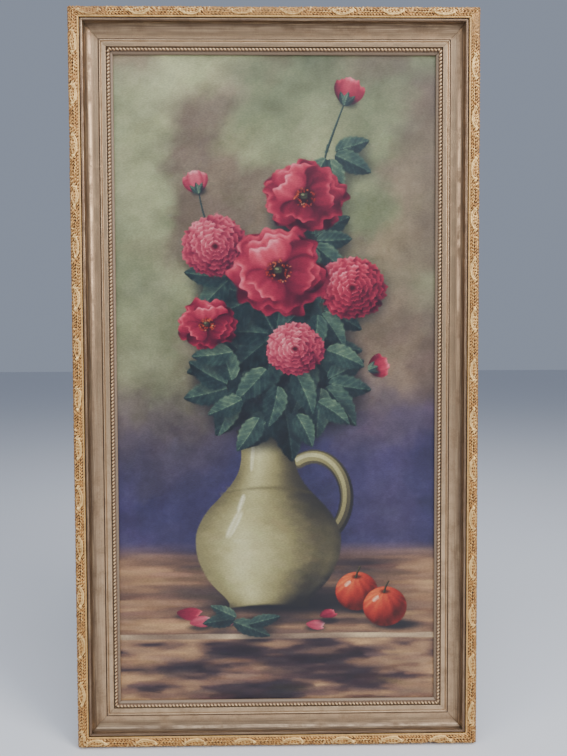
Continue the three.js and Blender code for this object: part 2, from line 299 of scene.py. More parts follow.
def dome(distance, radius, height):
    """A round-topped rise: height * sqrt(1 - (distance / radius)^2), and nothing beyond the radius."""
    return height * np.sqrt(np.clip(1 - (distance / radius) ** 2, 0, 1))


def small_leaves(u, w):
    """The small overlapping leaves that fill the ground: slanted, staggered rows of oval domes."""
    across = w / SMALL_LEAF_ROW_MM
    row = np.floor(across)
    along = (u + 0.9 * w + 1.2 * np.sin(1.9 * row)) / SMALL_LEAF_MM
    x = (along % 1 - 0.5) / 0.44
    y = (across % 1 - 0.5) / 0.56
    return 1.7 * np.sqrt(np.clip(1 - x**2 - y**2, 0, 1))


def carved_lobe(u, w, foot, angle, length, width, height, vein=0.3):
    """A leaf lobe that grows from its foot at an angle from straight outward. Along it a runs from 0 to 1,
    its half width is width * a^0.5 * sqrt(1 - a^5), and its rounded top has a sunk vein down the middle."""
    sine, cosine = math.sin(math.radians(angle)), math.cos(math.radians(angle))
    x, y = along_repeat(u - foot[0]), w - foot[1]
    a = np.clip((x * sine + y * cosine) / length, 0, 1)
    b = x * cosine - y * sine
    half = width * a**0.5 * np.sqrt(np.clip(1 - a**5, 0, 1)) + 1e-3
    rise = np.sqrt(np.clip(1 - (b / half) ** 2, 0, 1)) * (0.5 + 0.5 * a)
    groove = vein * np.exp(-((b / (0.3 * width)) ** 2)) * smoothstep(0.1, 0.4, a) * smoothstep(1, 0.8, a)
    return height * (rise - groove * (rise > 0))


# The leaf lobes: foot along and across, angle from straight outward, length, half width, height, vein. First
# the V of leaves after a lens, then two staggered rows that lean against each other, then the bold leaf
# before the next lens, and last the small leaves that fill its outer side.
LOBES = [
    ((21.5, 0.6), -40, 13.5, 1.9, 2.5, 0.25), ((21.8, 0.6), -12, 12.0, 1.9, 2.3, 0.3),
    ((22.4, 0.6), 18, 12.5, 1.9, 2.5, 0.25), ((23.2, 0.4), 48, 9.0, 1.6, 2.0, 0.2),
    ((20.4, 0.4), -66, 8.0, 1.5, 2.0, 0.2),
    ((29.8, 0.3), 30, 6.6, 1.5, 2.1, 0.1), ((34.3, 0.3), 34, 6.2, 1.5, 2.2, 0.1),
    ((38.7, 0.3), 30, 6.6, 1.5, 2.1, 0.1), ((43.0, 0.2), 26, 6.0, 1.5, 2.1, 0.1),
    ((30.6, 7.4), -34, 8.0, 1.6, 2.0, 0.3), ((35.4, 7.0), -26, 8.6, 1.7, 2.2, 0.3),
    ((39.6, 7.4), -34, 7.8, 1.6, 2.0, 0.3),
    ((43.4, 1.4), 36, 15.0, 2.0, 2.2, 0.2), ((47.6, 0.4), 32, 8.6, 1.5, 2.1, 0.2),
    ((52.0, 11.2), 24, 5.0, 1.5, 1.9, 0.3), ((58.5, 12.0), -32, 4.6, 1.4, 1.8, 0.3),
    ((64.0, 12.4), -26, 4.2, 1.4, 1.8, 0.3), ((69.5, 12.4), 20, 4.4, 1.4, 1.8, 0.3),
    ((76.0, 11.4), 30, 5.4, 1.5, 1.9, 0.3), ((81.5, 9.0), -20, 6.4, 1.5, 2.0, 0.3),
    ((57.0, 0.2), 52, 4.6, 1.1, 1.5, 0.1), ((78.5, 0.2), -50, 5.0, 1.2, 1.6, 0.1),
]


def pressed_pattern(u, w):
    """The height in mm of the pressed pattern, u along from the middle of a lens and w across from the plain
    strip. It is the highest of its parts at each place: small leaves all over, a slim lens between two rims,
    a broad crescent on its inner side, a round boss before it, a curl after it, the leaf lobes, and a row of
    tongues down the outer side."""
    u = along_repeat(u)
    mid = LENS_ACROSS_MM
    height = np.full(np.broadcast(u, w).shape, GROUND_MM)

    def lay(rise):
        np.maximum(height, np.where(rise > 0.02, 0.95 * rise - 0.7, height), out=height)

    lay(small_leaves(u, w))

    core = 0.95 * (1 - (u / 9.0) ** 2)
    lay(dome((w - mid) / np.maximum(core, 0.05), 1, 1.5) * (core > 0))
    rim = 3.1 * (1 - (u / 11.5) ** 2)
    lay(dome(np.abs(w - mid) - rim, 0.95, 2.0) * (np.abs(u) < 11.2))
    crescent = mid - 5.3 + 4.0 * (u / 13.5) ** 2
    lay(dome(w - crescent, 1.5, 2.2) * (np.abs(u) < 14))
    lay(dome(np.hypot(u + 13.6, w - mid - 0.4), 2.5, 3.1))
    curl = np.hypot(u - 14.6, w - mid + 0.6)
    lay(dome(curl - 2.2, 0.9, 2.1) * ((w > mid - 1.6) | (u < 14.6)))
    lay(dome(curl, 0.95, 1.9))
    for foot, angle, length, width, rise, vein in LOBES:
        lay(carved_lobe(u, w, foot, angle, length, width, rise, vein))
    tongue = np.abs((u / (REPEAT_MM / 12) + 0.5) % 1 - 0.5) * 2
    lay(dome(tongue, 0.8, 1.3) * smoothstep(14.6, 16.4, w) * smoothstep(23.6, 21.4, w))
    return height


# Worn and broken places on the ornament: side, along, across and radii in mm, how much of the pattern is lost
# (0 to 1), and how much bare red ground shows
BROKEN = {
    "top": [(-20, 9, 74, 16, 0.55, 0), (-92, 19, 13, 3.2, 1, 0.25), (-36, 20, 9, 3, 1, 0.2),
            (206, 18, 16, 3.2, 1, 0.2), (-150, 18, 6, 2.6, 1, 0.3), (-246, 10, 20, 12, 0.35, 0.2)],
    "right": [(-472, 8, 24, 15, 0.45, 0.1), (-230, 17, 7, 3.4, 0.9, 0.2), (180, 18, 9, 3, 1, 0.3)],
    "bottom": [(-212, 14, 10, 3.8, 1, 1), (-190, 16, 7, 3.4, 0.8, 0.6), (60, 9, 66, 14, 0.25, 0),
               (30, 17, 12, 3, 1, 0.3), (120, 17, 8, 3, 1, 0.3)],
    "left": [(-60, 19, 17, 3, 1, 0.2), (118, 18, 10, 3, 1, 0.2), (-330, 12, 10, 8, 0.4, 0.1),
             (330, 18, 22, 3, 0.9, 0.1)],
}


def broken_masks(place, along, across):
    """How much of the pattern is lost, and how much red ground shows: soft ellipses with ragged edges."""
    lost, red = np.zeros(along.shape), np.zeros(along.shape)
    ragged = (cloud(along / 2.2, across / 2.2 + 7, 41) - 0.5) * 0.7
    for at, w, reach, width, loss, bare in BROKEN[place]:
        inside = smoothstep(1.15, 0.75, np.hypot((along - at) / reach, (across - w) / width) + ragged)
        lost = np.maximum(lost, inside * loss)
        red = np.maximum(red, inside * bare)
    return lost, red


def build_ornament(side):
    """The strip's section carried along the side, and the pattern raised on it square to its surface."""
    carved, across = smooth_path(CARVED_PATH, POINTS_ACROSS)
    across = across * CARVED_MM / across[-1]
    outline = np.vstack([UNDERSIDE, PLAIN_STRIP, carved])
    first = len(UNDERSIDE) + len(PLAIN_STRIP)
    inward, forward = outline.T
    tangent = np.gradient(carved, axis=0)
    normal = np.zeros(outline.shape)
    normal[first:] = np.column_stack([tangent[:, 1], -tangent[:, 0]]) / np.hypot(*tangent.T)[:, None]
    w = np.concatenate([np.full(first, -1.0), across])

    along = mitred_run(side, int(side.length / ALONG_STEP_MM), inward)
    start = side.first_lens - side.length / 2
    warp = (cloud(along / 12, w[None, :] / 9 + 3, 11 + side.quarters, 2) - 0.5) * 4.2
    u = along - start + warp
    v = w[None, :] + (cloud(along / 11 + 5, w[None, :] / 9, 21 + side.quarters, 2) - 0.5) * 2.6
    lost, red = broken_masks(side.place, along, np.broadcast_to(w, along.shape))
    rise = pressed_pattern(u, np.clip(v, 0, None) + 0 * u)
    rubbed = smoothstep(0.62, 0.85, cloud(along / 60, w[None, :] / 30, 31 + side.quarters))
    worn = np.clip(lost + 0.45 * rubbed, 0, 1)
    uneven = 0.72 + 0.56 * cloud(along / 8 + 2, w[None, :] / 6, 71 + side.quarters, 2)
    rise = rise * uneven * (1 - 0.7 * worn) + (cloud(along / 2.1, w[None, :] / 2.1, 51, 2) - 0.5) * 0.7
    rise = np.where(lost > 0.8, np.minimum(rise, -0.9), rise)
    fade = smoothstep(0, 1.0, w) * smoothstep(CARVED_MM, CARVED_MM - 1.2, w)
    rise = rise * fade[None, :]
    points = side.points(
        along,
        np.maximum(inward[None, :] + normal[None, :, 0] * rise, 0.02),
        np.minimum(forward[None, :] + normal[None, :, 1] * rise, DEPTH_MM - 0.02),
    )
    attributes = {
        "run": run_of(side, along, w[None, :]),
        # the plain strip counts as 0.8 high, so the gilt's painted highlight covers it
        "rise": (np.where(w > 0, rise, 0.8) + 0 * along).ravel(),
        "across": np.broadcast_to(w, along.shape).ravel(),
        "worn": worn.ravel(),
        "red": red.ravel(),
    }
    piece = make_piece(f"ornament_carved_{side.place}", points, tube_faces(*along.shape), attributes)
    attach(piece, "root")
    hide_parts(f"ornament_{side.place}")
    return piece


# ---------------------------------------------------------------- the bead course

BEAD_PITCH_MM = 4.87
STEPS_PER_BEAD = 10
POINTS_OVER_BEAD = 11


def build_beads(side):
    """A strip of slanted oval beads. With b across from -1 to 1 and t along each bead from -1 to 1, leaning
    with b, its height is base + rise * sqrt(1 - b^2 - t^2 / 0.9)."""
    outer, inner, base, rise, lean = 49.4, 54.2, 31.35, 2.9, 0.6
    middle, half = (outer + inner) / 2, (inner - outer) / 2
    across = np.concatenate([[-1.0], np.linspace(-0.97, 0.97, POINTS_OVER_BEAD), [1.0]])[::-1]
    inward = middle + half * across
    count = round((side.length - 2 * middle) / BEAD_PITCH_MM)
    pitch = (side.length - 2 * middle) / count
    steps = count * STEPS_PER_BEAD + 1
    along = mitred_run(side, steps, inward)
    t = ((along - across[None, :] * half * lean) / pitch + (count % 2) / 2) % 1 * 2 - 1
    uneven = (lattice_noise(along / pitch + 3, 0 * along, 61 + side.quarters) - 0.5) * 0.35
    swell = np.sqrt(np.clip(1 - across[None, :] ** 2 - t**2 / 0.9, 0, 1))
    forward = base + 0.25 * (1 - across[None, :] ** 2) + (rise + uneven - 0.25) * swell
    bottom = np.array([[outer, base - 0.02], [inner, base - 0.02]])
    inward_all = np.concatenate([bottom[:, 0], inward])
    along_all = mitred_run(side, steps, inward_all)
    forward_all = np.hstack([np.broadcast_to(bottom[:, 1], (len(along), 2)), forward])
    points = side.points(along_all, inward_all[None, :] + 0 * along_all, forward_all)
    run = run_of(side, along_all, inward_all[None, :])
    attributes = {"run": run, "rise": ((forward_all - base) / rise).ravel()}
    piece = make_piece(f"beads_{side.place}", points, tube_faces(*along_all.shape), attributes)
    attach(piece, "root")
    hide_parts(f"bead_course_{side.place}")
    return piece


# ---------------------------------------------------------------- material helpers


class Shading:
    """A short way to place and join the nodes of one material or group."""

    def __init__(self, tree):
        self.tree = tree

    def add(self, kind, inputs=None, **settings):
        """A node of a kind, with its settings, and its inputs joined or set. The node is returned."""
        node = self.tree.nodes.new(kind)
        for key, value in settings.items():
            setattr(node, key, value)
        for key, value in (inputs or {}).items():
            self.join(value, node.inputs[key])
        return node

    def join(self, value, socket):
        if isinstance(value, bpy.types.NodeSocket):
            self.tree.links.new(value, socket)
        else:
            socket.default_value = value

    def attribute(self, name, output="Fac"):
        return self.add("ShaderNodeAttribute", attribute_name=name).outputs[output]

    def math(self, operation, a, b=0.0, clamp=False):
        return self.add("ShaderNodeMath", {0: a, 1: b}, operation=operation, use_clamp=clamp).outputs[0]

    def band(self, value, start, end, low=0.0, high=1.0):
        """low up to start, high from end, and a smooth change between them."""
        node = self.add(
            "ShaderNodeMapRange",
            {"Value": value, "From Min": start, "From Max": end, "To Min": low, "To Max": high},
            interpolation_type="SMOOTHSTEP",
        )
        return node.outputs["Result"]

    def mix(self, factor, a, b, blend="MIX"):
        node = self.add("ShaderNodeMix", data_type="RGBA", blend_type=blend)
        self.join(factor, node.inputs["Factor"])
        self.join(a, node.inputs[6])
        self.join(b, node.inputs[7])
        return node.outputs[2]

    def noise(self, vector, scale, detail=3.0, roughness=0.55):
        return self.add(
            "ShaderNodeTexNoise", {"Vector": vector, "Scale": scale, "Detail": detail, "Roughness": roughness}
        ).outputs["Fac"]

    def stretched(self, vector, scale):
        return self.add("ShaderNodeMapping", {"Vector": vector, "Scale": scale}).outputs["Vector"]

    def group(self, tree, inputs):
        node = self.tree.nodes.new("ShaderNodeGroup")
        node.node_tree = tree
        for key, value in inputs.items():
            self.join(value, node.inputs[key])
        return node


def to_light(srgb):
    """sRGB values from 0 to 1 as amounts of light, by the standard curve."""
    return np.where(srgb <= 0.04045, srgb / 12.92, ((srgb + 0.055) / 1.055) ** 2.4)


def colour(red, green, blue):
    """A colour in the light it gives back, from the 0 to 255 values a paint chart would list."""
    return (*[float(v) for v in to_light(np.array([red, green, blue]) / 255)], 1.0)


def new_group(name, inputs, outputs):
    """A shader node group with named sockets, the Shading of its inside, and the sockets of its two ends."""
    tree = bpy.data.node_groups.new(name, "ShaderNodeTree")
    for socket, kind, default in inputs:
        made = tree.interface.new_socket(socket, in_out="INPUT", socket_type=kind)
        if default is not None:
            made.default_value = default
    for socket, kind in outputs:
        tree.interface.new_socket(socket, in_out="OUTPUT", socket_type=kind)
    shading = Shading(tree)
    return tree, shading, tree.nodes.new("NodeGroupInput").outputs, tree.nodes.new("NodeGroupOutput").inputs


def new_material(name):
    material = bpy.data.materials.new(name)
    material.use_nodes = True
    material.node_tree.nodes.clear()
    return material, Shading(material.node_tree)


def finish_material(shading, base, roughness, metallic=0.0, normal=None, **plain):
    """The Principled shader and the output. plain holds the sockets that are the same all over."""
    inputs = {"Base Color": base, "Roughness": roughness, "Metallic": metallic}
    if normal is not None:
        inputs["Normal"] = normal
    shader = shading.add("ShaderNodeBsdfPrincipled", inputs)
    for key, value in plain.items():
        shader.inputs[key.replace("_", " ")].default_value = value
    output = shading.add("ShaderNodeOutputMaterial")
    shading.tree.links.new(shader.outputs[0], output.inputs["Surface"])


NUMBER, VECTOR = "NodeSocketFloat", "NodeSocketVector"


def tarnish_group():
    """Cloudy darkening with fine specks in it: how tarnished each place is, from 0 to 1."""
    tree, s, inside, out = new_group(
        "Tarnish",
        [("Vector", VECTOR, None), ("Size", NUMBER, 60.0), ("Amount", NUMBER, 0.5)],
        [("Mask", NUMBER)],
    )
    clouds = s.noise(inside["Vector"], inside["Size"], 4.0, 0.6)
    specks = s.noise(inside["Vector"], s.math("MULTIPLY", inside["Size"], 9.0), 2.0)
    both = s.math("ADD", s.math("MULTIPLY", clouds, 0.75), s.math("MULTIPLY", specks, 0.25))
    s.join(s.math("MULTIPLY", s.band(both, 0.38, 0.68), inside["Amount"]), out["Mask"])
    return tree


def grain_group():
    """Long streaks of wood grain along the first axis: the streaks, and finer pores between them."""
    tree, s, inside, out = new_group(
        "Wood grain",
        [("Vector", VECTOR, None), ("Fineness", NUMBER, 1.0)],
        [("Streaks", NUMBER), ("Pores", NUMBER)],
    )
    scale = s.add("ShaderNodeVectorMath", {0: inside["Vector"], 3: inside["Fineness"]}, operation="SCALE")
    sized = scale.outputs[0]
    slow = s.stretched(sized, (6.0, 90.0, 90.0))
    fine = s.stretched(sized, (30.0, 900.0, 900.0))
    s.join(s.band(s.noise(slow, 1.0, 4.0, 0.6), 0.3, 0.7), out["Streaks"])
    s.join(s.noise(fine, 1.0, 2.0), out["Pores"])
    return tree


TARNISH = tarnish_group()
GRAIN = grain_group()


def wood_colours(s, vector, pale, dark, fineness=1.0):
    """The colour and the bump height of bare old wood."""
    grain = s.group(GRAIN, {"Vector": vector, "Fineness": fineness})
    base = s.mix(grain.outputs["Streaks"], dark, pale)
    pores = s.band(grain.outputs["Pores"], 0.42, 0.6, 0.78, 1.0)
    grey = s.add("ShaderNodeCombineColor", {0: pores, 1: pores, 2: pores}).outputs[0]
    base = s.mix(1.0, base, grey, "MULTIPLY")
    return base, s.math("ADD", grain.outputs["Streaks"], grain.outputs["Pores"])


def bronzed_wood_material():
    """Old bronze paint on the front of the moulding, rubbed on its edges, over bare wood that shows at the
    back.
    Painted shade darkens the steep outer part of the cove and the hollows: the quirk, the bead seat and the
    ornament's seat."""
    material, s = new_material("bronze paint on wood")
    run = s.attribute("run", "Vector")
    inward, forward = s.attribute("inward"), s.attribute("forward")
    streaks = s.noise(s.stretched(run, (14.0, 620.0, 1.0)), 1.0, 3.0)
    tarnish = s.group(TARNISH, {"Vector": run, "Size": 46.0, "Amount": 0.8}).outputs["Mask"]

    # painted shade: the cove runs from dark at its steep outer part to light at its flat inner end
    cove = s.mix(s.band(inward, 22, 37), colour(100, 82, 66), colour(186, 154, 120))
    base = s.mix(s.band(inward, 39.2, 39.8), cove, colour(192, 162, 128))
    base = s.mix(s.band(inward, 48.2, 48.8), base, colour(150, 130, 108))
    base = s.mix(s.band(inward, 22.2, 21.2), base, colour(120, 98, 80))
    base = s.mix(s.math("MULTIPLY", s.band(streaks, 0.42, 0.7), 0.35), base, colour(216, 186, 146))
    base = s.mix(s.math("MULTIPLY", tarnish, 0.45), base, colour(84, 64, 46))

    # painted shade in the hollows (quirk, bead seat, ornament seat), which are also kept from looking
    # metallic
    quirk = s.math("MULTIPLY", s.band(inward, 37.7, 38.5), s.band(inward, 40.1, 39.7))
    bead_seat = s.math("MULTIPLY", s.band(inward, 48.3, 48.7), s.band(inward, 55.2, 54.7))
    ornament_seat = s.band(inward, 18.9, 18.4)
    bead_seat = s.math("MULTIPLY", bead_seat, 0.5)
    hollow_shade = s.math("MAXIMUM", s.math("MAXIMUM", quirk, bead_seat), ornament_seat)
    base = s.mix(s.math("MULTIPLY", hollow_shade, 0.9), base, colour(58, 40, 28))

    bare_wood, wood_height = wood_colours(s, run, colour(188, 150, 104), colour(136, 98, 62))
    stained, _ = wood_colours(s, run, colour(126, 92, 58), colour(84, 58, 38))
    behind = s.band(forward, 27.9, 27.6)
    outside = s.band(inward, 3.25, 3.1)
    back = s.band(forward, 1.2, 0.6)
    wood = s.mix(s.math("MULTIPLY", outside, s.math("SUBTRACT", 1.0, back)), bare_wood, stained)
    is_wood = s.math("MAXIMUM", behind, outside)
    base = s.mix(is_wood, base, wood)

    sight_slope = s.band(inward, 54.4, 54.9)
    bronzed_slope = s.math("MULTIPLY", sight_slope, s.math("SUBTRACT", 1.0, is_wood))
    base = s.mix(bronzed_slope, base, colour(132, 112, 92))
    dull = s.math("MAXIMUM", s.math("MAXIMUM", tarnish, is_wood), s.math("MULTIPLY", sight_slope, 0.8))
    roughness = s.band(dull, 0.0, 1.0, 0.3, 0.62)
    not_metal = s.math("MAXIMUM", s.math("MAXIMUM", is_wood, hollow_shade), s.math("MULTIPLY", sight_slope, 0.7))
    metallic = s.math("MULTIPLY", s.math("SUBTRACT", 1.0, not_metal), 0.75)
    height = s.math("ADD", s.math("MULTIPLY", streaks, 0.6), s.math("MULTIPLY", wood_height, is_wood))
    bump = s.add("ShaderNodeBump", {"Height": height, "Distance": 0.00012, "Strength": 0.6}).outputs[0]
    finish_material(s, base, roughness, metallic, bump)
    return material


def gilt_material(name, crest, body, recess_shade, low_rise, high_rise):
    """Ochre gilding on pressed composition, with a painted highlight where it stands proud, painted shade in
    the recesses and towards the outer edge, and bare red or chalky ground where it has broken away."""
    material, s = new_material(name)
    run, rise = s.attribute("run", "Vector"), s.attribute("rise")
    worn, red = s.attribute("worn"), s.attribute("red")
    tarnish = s.group(TARNISH, {"Vector": run, "Size": 90.0, "Amount": 0.7}).outputs["Mask"]
    rubbed = s.noise(run, 900.0, 3.0)
    lifted = s.math("ADD", rise, s.math("MULTIPLY", s.math("SUBTRACT", rubbed, 0.5), 0.5))
    # painted highlight and painted shade: the higher a place stands, the paler it is, and the lower, the
    # browner
    proud = s.band(lifted, low_rise, high_rise)
    base = s.mix(s.band(proud, 0.0, 0.55), recess_shade, body)
    base = s.mix(s.band(proud, 0.5, 1.0), base, crest)
    # painted shade towards the outer edge, where the strip turns down the side, added to real tarnish
    outward = s.band(s.attribute("across"), 8.0, 17.0, 0.0, 0.4)
    side_shade_and_tarnish = s.math("ADD", outward, s.math("MULTIPLY", tarnish, 0.5))
    base = s.mix(side_shade_and_tarnish, base, colour(98, 62, 34))
    base = s.mix(s.math("MULTIPLY", worn, 0.35), base, colour(176, 146, 92))
    base = s.mix(red, base, colour(88, 34, 26))
    roughness = s.band(proud, 0.0, 1.0, 0.75, 0.4)
    gilded = s.math("SUBTRACT", 0.5, s.math("MULTIPLY", red, 0.5))
    metallic = s.math("MULTIPLY", s.band(proud, 0.2, 0.8), gilded)
    bump = s.add("ShaderNodeBump", {"Height": rubbed, "Distance": 0.00015, "Strength": 0.5}).outputs[0]
    finish_material(s, base, roughness, metallic, bump)
    return material


def plain_wood_material(name, pale, dark, lengthwise):
    """Bare wood for a CAD bar or key, its grain along X or Z."""
    material, s = new_material(name)
    place = s.add("ShaderNodeTexCoord").outputs["Object"]
    if lengthwise == "Z":
        parts = s.add("ShaderNodeSeparateXYZ", {0: place}).outputs
        place = s.add("ShaderNodeCombineXYZ", {0: parts[2], 1: parts[0], 2: parts[1]}).outputs[0]
    base, height = wood_colours(s, place, pale, dark)
    dirt = s.group(TARNISH, {"Vector": place, "Size": 25.0, "Amount": 0.5}).outputs["Mask"]
    base = s.mix(dirt, base, colour(96, 70, 46))
    bump = s.add("ShaderNodeBump", {"Height": height, "Distance": 0.0002, "Strength": 0.5}).outputs[0]
    finish_material(s, base, s.band(dirt, 0.0, 1.0, 0.75, 0.9), 0.0, bump)
    return material


def metal_material(name, bright, dull):
    """Bare metal, bright where it is rubbed and dull where it has tarnished."""
    material, s = new_material(name)
    place = s.add("ShaderNodeTexCoord").outputs["Object"]
    tarnish = s.group(TARNISH, {"Vector": place, "Size": 400.0, "Amount": 0.9}).outputs["Mask"]
    base = s.mix(tarnish, bright, dull)
    finish_material(s, base, s.band(tarnish, 0.0, 1.0, 0.35, 0.7), 1.0)
    return material

# ---------------------------------------------------------------- the picture: paint laid on a fine grid

CELL_MM = 457 / 512  # the finest patch of paint
BLOCK = 8  # the coarsest patch, in finest ones
BLOCKS_ACROSS, BLOCKS_UP = 64, 128


def tone(*stops):
    """Colours from dark to light, as 0 to 255 values, for shade()."""
    return np.array(stops, dtype=float)


def shade(stops, t):
    """The colour at t, from 0 for the first stop to 1 for the last."""
    at = np.clip(t, 0, 1) * (len(stops) - 1)
    k = np.minimum(at.astype(int), len(stops) - 2)
    part = (at - k)[..., None]
    return stops[k] * (1 - part) + stops[k + 1] * part


LEAF_TONES = tone((16, 24, 30), (28, 42, 48), (46, 66, 64), (78, 100, 82), (122, 140, 108))
BLOOM_TONES = tone((38, 8, 28), (82, 14, 40), (132, 26, 54), (178, 60, 78), (216, 124, 134))
BLUSH_TONES = tone((62, 14, 38), (112, 28, 54), (158, 54, 74), (190, 94, 106), (220, 152, 152))
JUG_TONES = tone((30, 30, 34), (76, 70, 52), (130, 122, 80), (168, 162, 114), (212, 208, 166))
APPLE_TONES = tone((60, 14, 16), (118, 26, 26), (166, 46, 34), (206, 104, 54), (240, 200, 140))


def step(angle, distance):
    """How far right and down a distance at an angle takes one: 0 points to the right and 90 down."""
    return distance * math.cos(math.radians(angle)), distance * math.sin(math.radians(angle))


def turned(dx, dy, angle):
    """How far along a direction, and how far square to it, a place lies."""
    cosine, sine = step(angle, 1)
    return dx * cosine + dy * sine, dy * cosine - dx * sine


class Picture:
    """A grid of painted points. x runs from the middle to the right and y down from the frame's opening,
    in mm."""

    def __init__(self, across, down, top, seed):
        self.x = (np.arange(across) - (across - 1) / 2) * CELL_MM
        self.y = top + np.arange(down) * CELL_MM
        self.paint = np.zeros((down, across, 3))
        self.random = np.random.default_rng(seed)

    def grid(self):
        """The x and the y of every point."""
        return self.x[None, :] + 0 * self.y[:, None], self.y[:, None] + 0 * self.x[None, :]

    def window(self, x, y, reach):
        """The grid's part within reach of a place, with its x and y measured from that place."""
        columns = slice(*np.searchsorted(self.x, (x - reach, x + reach)))
        rows = slice(*np.searchsorted(self.y, (y - reach, y + reach)))
        return self.paint[rows, columns], self.x[None, columns] - x, self.y[rows, None] - y

    def lay(self, part, cover, colours):
        """Lays colours over a part of the grid, wholly where cover is 1 and not at all where it is 0."""
        part += (colours - part) * np.clip(cover, 0, 1)[..., None]

    def colour_at(self, x, y):
        """The paint at the place nearest to (x, y)."""
        i = np.clip(np.searchsorted(self.x, x), 0, len(self.x) - 1)
        j = np.clip(np.searchsorted(self.y, y), 0, len(self.y) - 1)
        return self.paint[j, i].copy()

    def dab(self, x, y, angle, length, width, colours, strength=0.8):
        """One brush stroke: full inside (a^4 + b^2) < 1, with streaks along it. An angle of 0 lies level."""
        part, dx, dy = self.window(x, y, length / 2 + width / 2)
        if part.size == 0:
            return
        a, b = turned(dx, dy, angle)
        a, b = a / (length / 2), b / (width / 2)
        streak = 0.78 + 0.22 * np.sin(b * 5.5 + self.random.uniform(0, 6) + a)
        self.lay(part, smoothstep(1.1, 0.55, np.sqrt(a**4 + b**2)) * streak * strength, colours)

    def dabs(self, count, region, angle, length, width, spread, strength, inside=None):
        """Strokes scattered over a region (left, right, top, bottom), each in the colour already there, a
        little changed. angle is (middle, spread)."""
        left, right, top, bottom = region
        for _ in range(count):
            x, y = self.random.uniform(left, right), self.random.uniform(top, bottom)
            if inside is not None and not inside(x, y):
                continue
            change = self.random.normal(0, spread, 3) * 0.4
            colours = np.clip(self.colour_at(x, y) + change + self.random.normal(0, spread), 0, 255)
            turn = self.random.normal(*angle)
            size = self.random.uniform(0.6, 1.3)
            self.dab(x, y, turn, length * size, width * size, colours, strength)

    def line(self, points, width, tones, light, tip=0.4):
        """A tapering stroke along a quadratic curve through its control points, lit on its upper left."""
        start, bend, end = (np.array(p, dtype=float) for p in points)
        for t in np.linspace(0, 1, int(np.hypot(*(end - start)) / (width * 0.35)) + 3):
            x, y = (1 - t) ** 2 * start + 2 * t * (1 - t) * bend + t * t * end
            size = width * (1 - (1 - tip) * t)
            part, dx, dy = self.window(x, y, size)
            near = np.hypot(dx, dy) / (size / 2)
            facing = light - 0.35 * (dx + dy) / size
            self.lay(part, smoothstep(1.1, 0.8, near), shade(tones, facing))

    def shadow(self, x, y, across, down, strength, colours=(20, 22, 32)):
        """A soft dark oval, full in its middle and gone at its edge."""
        part, dx, dy = self.window(x, y, max(across, down))
        cover = smoothstep(1.0, 0.3, np.hypot(dx / across, dy / down)) * strength
        self.lay(part, cover, np.array(colours, float))

    def leaf(self, x, y, angle, length, width, light=0.5, tones=LEAF_TONES, curl=0.0):
        """A pointed leaf from its foot, on its own soft shadow. With a from 0 at the foot to 1 at the tip,
        its half width is width / 2 * sin(pi a^0.72)^0.75. One half is lighter, and side veins slant from its
        rib."""
        right, down = step(angle, length * 0.5)
        self.shadow(x + right + 3, y + down + 4, length * 0.62, length * 0.5, 0.45)
        part, dx, dy = self.window(x, y, length * 1.15)
        cosine, sine = step(angle, 1)
        a, b = turned(dx, dy, angle)
        a = a / length
        b = b - curl * length * (a * a)
        inside = np.clip(a, 0, 1)
        half = width / 2 * np.sin(math.pi * inside**0.72) ** 0.75 * (1 + 0.05 * np.sin(a * 40)) + 0.01
        cover = smoothstep(1.12, 0.94, np.abs(b) / half)
        cover = cover * smoothstep(-0.01, 0.01, a) * smoothstep(1.01, 0.99, a)
        upper = np.where(b * (cosine + 0.3 * sine) < 0, 1.0, -1.0)
        rib = np.exp(-((b / 0.9) ** 2))
        veins = np.exp(-(((a * length - np.abs(b) * 1.1) % (length / 6) - length / 12) / 1.3) ** 2)
        blotch = cloud((dx + x) / 9 + 40, (dy + y) / 9 + 40, 161, 2) - 0.5
        rim = smoothstep(0.7, 1.0, np.abs(b) / half) * 0.12 * (upper > 0)
        t = light + 0.13 * upper + 0.3 * blotch + 0.2 * rib + 0.12 * veins - 0.22 * inside**3 + rim
        self.lay(part, cover, shade(tones, t))

    def petal(self, x, y, angle, length, width, light, tones, frill=0.06, squash=1.0, pleats=5.0):
        """A broad petal from its foot: half width width / 2 * sin(0.84 pi a^1.15)^0.62, pleated lengthwise,
        darker at its foot and pale along its rim."""
        part, dx, dy = self.window(x, y, length * 1.2)
        a, b0 = turned(dx, dy / squash, angle)
        phase = self.random.uniform(0, 6)
        b0 = b0 / (width / 2)
        wave = 1 + frill * np.sin(b0 * 6 + phase) + frill * 0.6 * np.sin(b0 * 13 + phase * 2)
        a = a / (length * wave)
        inside = np.clip(a, 0, 1)
        half = np.sin(math.pi * np.clip(inside**1.15 * 0.84, 0, 1)) ** 0.62 + 0.01
        b = b0 / half
        cover = smoothstep(1.06, 0.95, np.abs(b)) * smoothstep(0, 0.03, a) * smoothstep(1.0, 0.965, a)
        pleat = np.sin(b * pleats + phase) * 0.5 + np.sin(b * pleats * 2.3 + phase * 3) * 0.3
        rim = smoothstep(0.8, 0.97, a) * 0.22
        t = light + 0.3 * (inside - 0.6) + 0.1 * pleat + rim - 0.13 * smoothstep(0.55, 1.0, np.abs(b))
        self.lay(part, cover, shade(tones, t))


def flower_light(angle):
    """How much more light a petal takes that points at an angle, lit from up left."""
    return 0.2 * math.cos(math.radians(angle + 125))


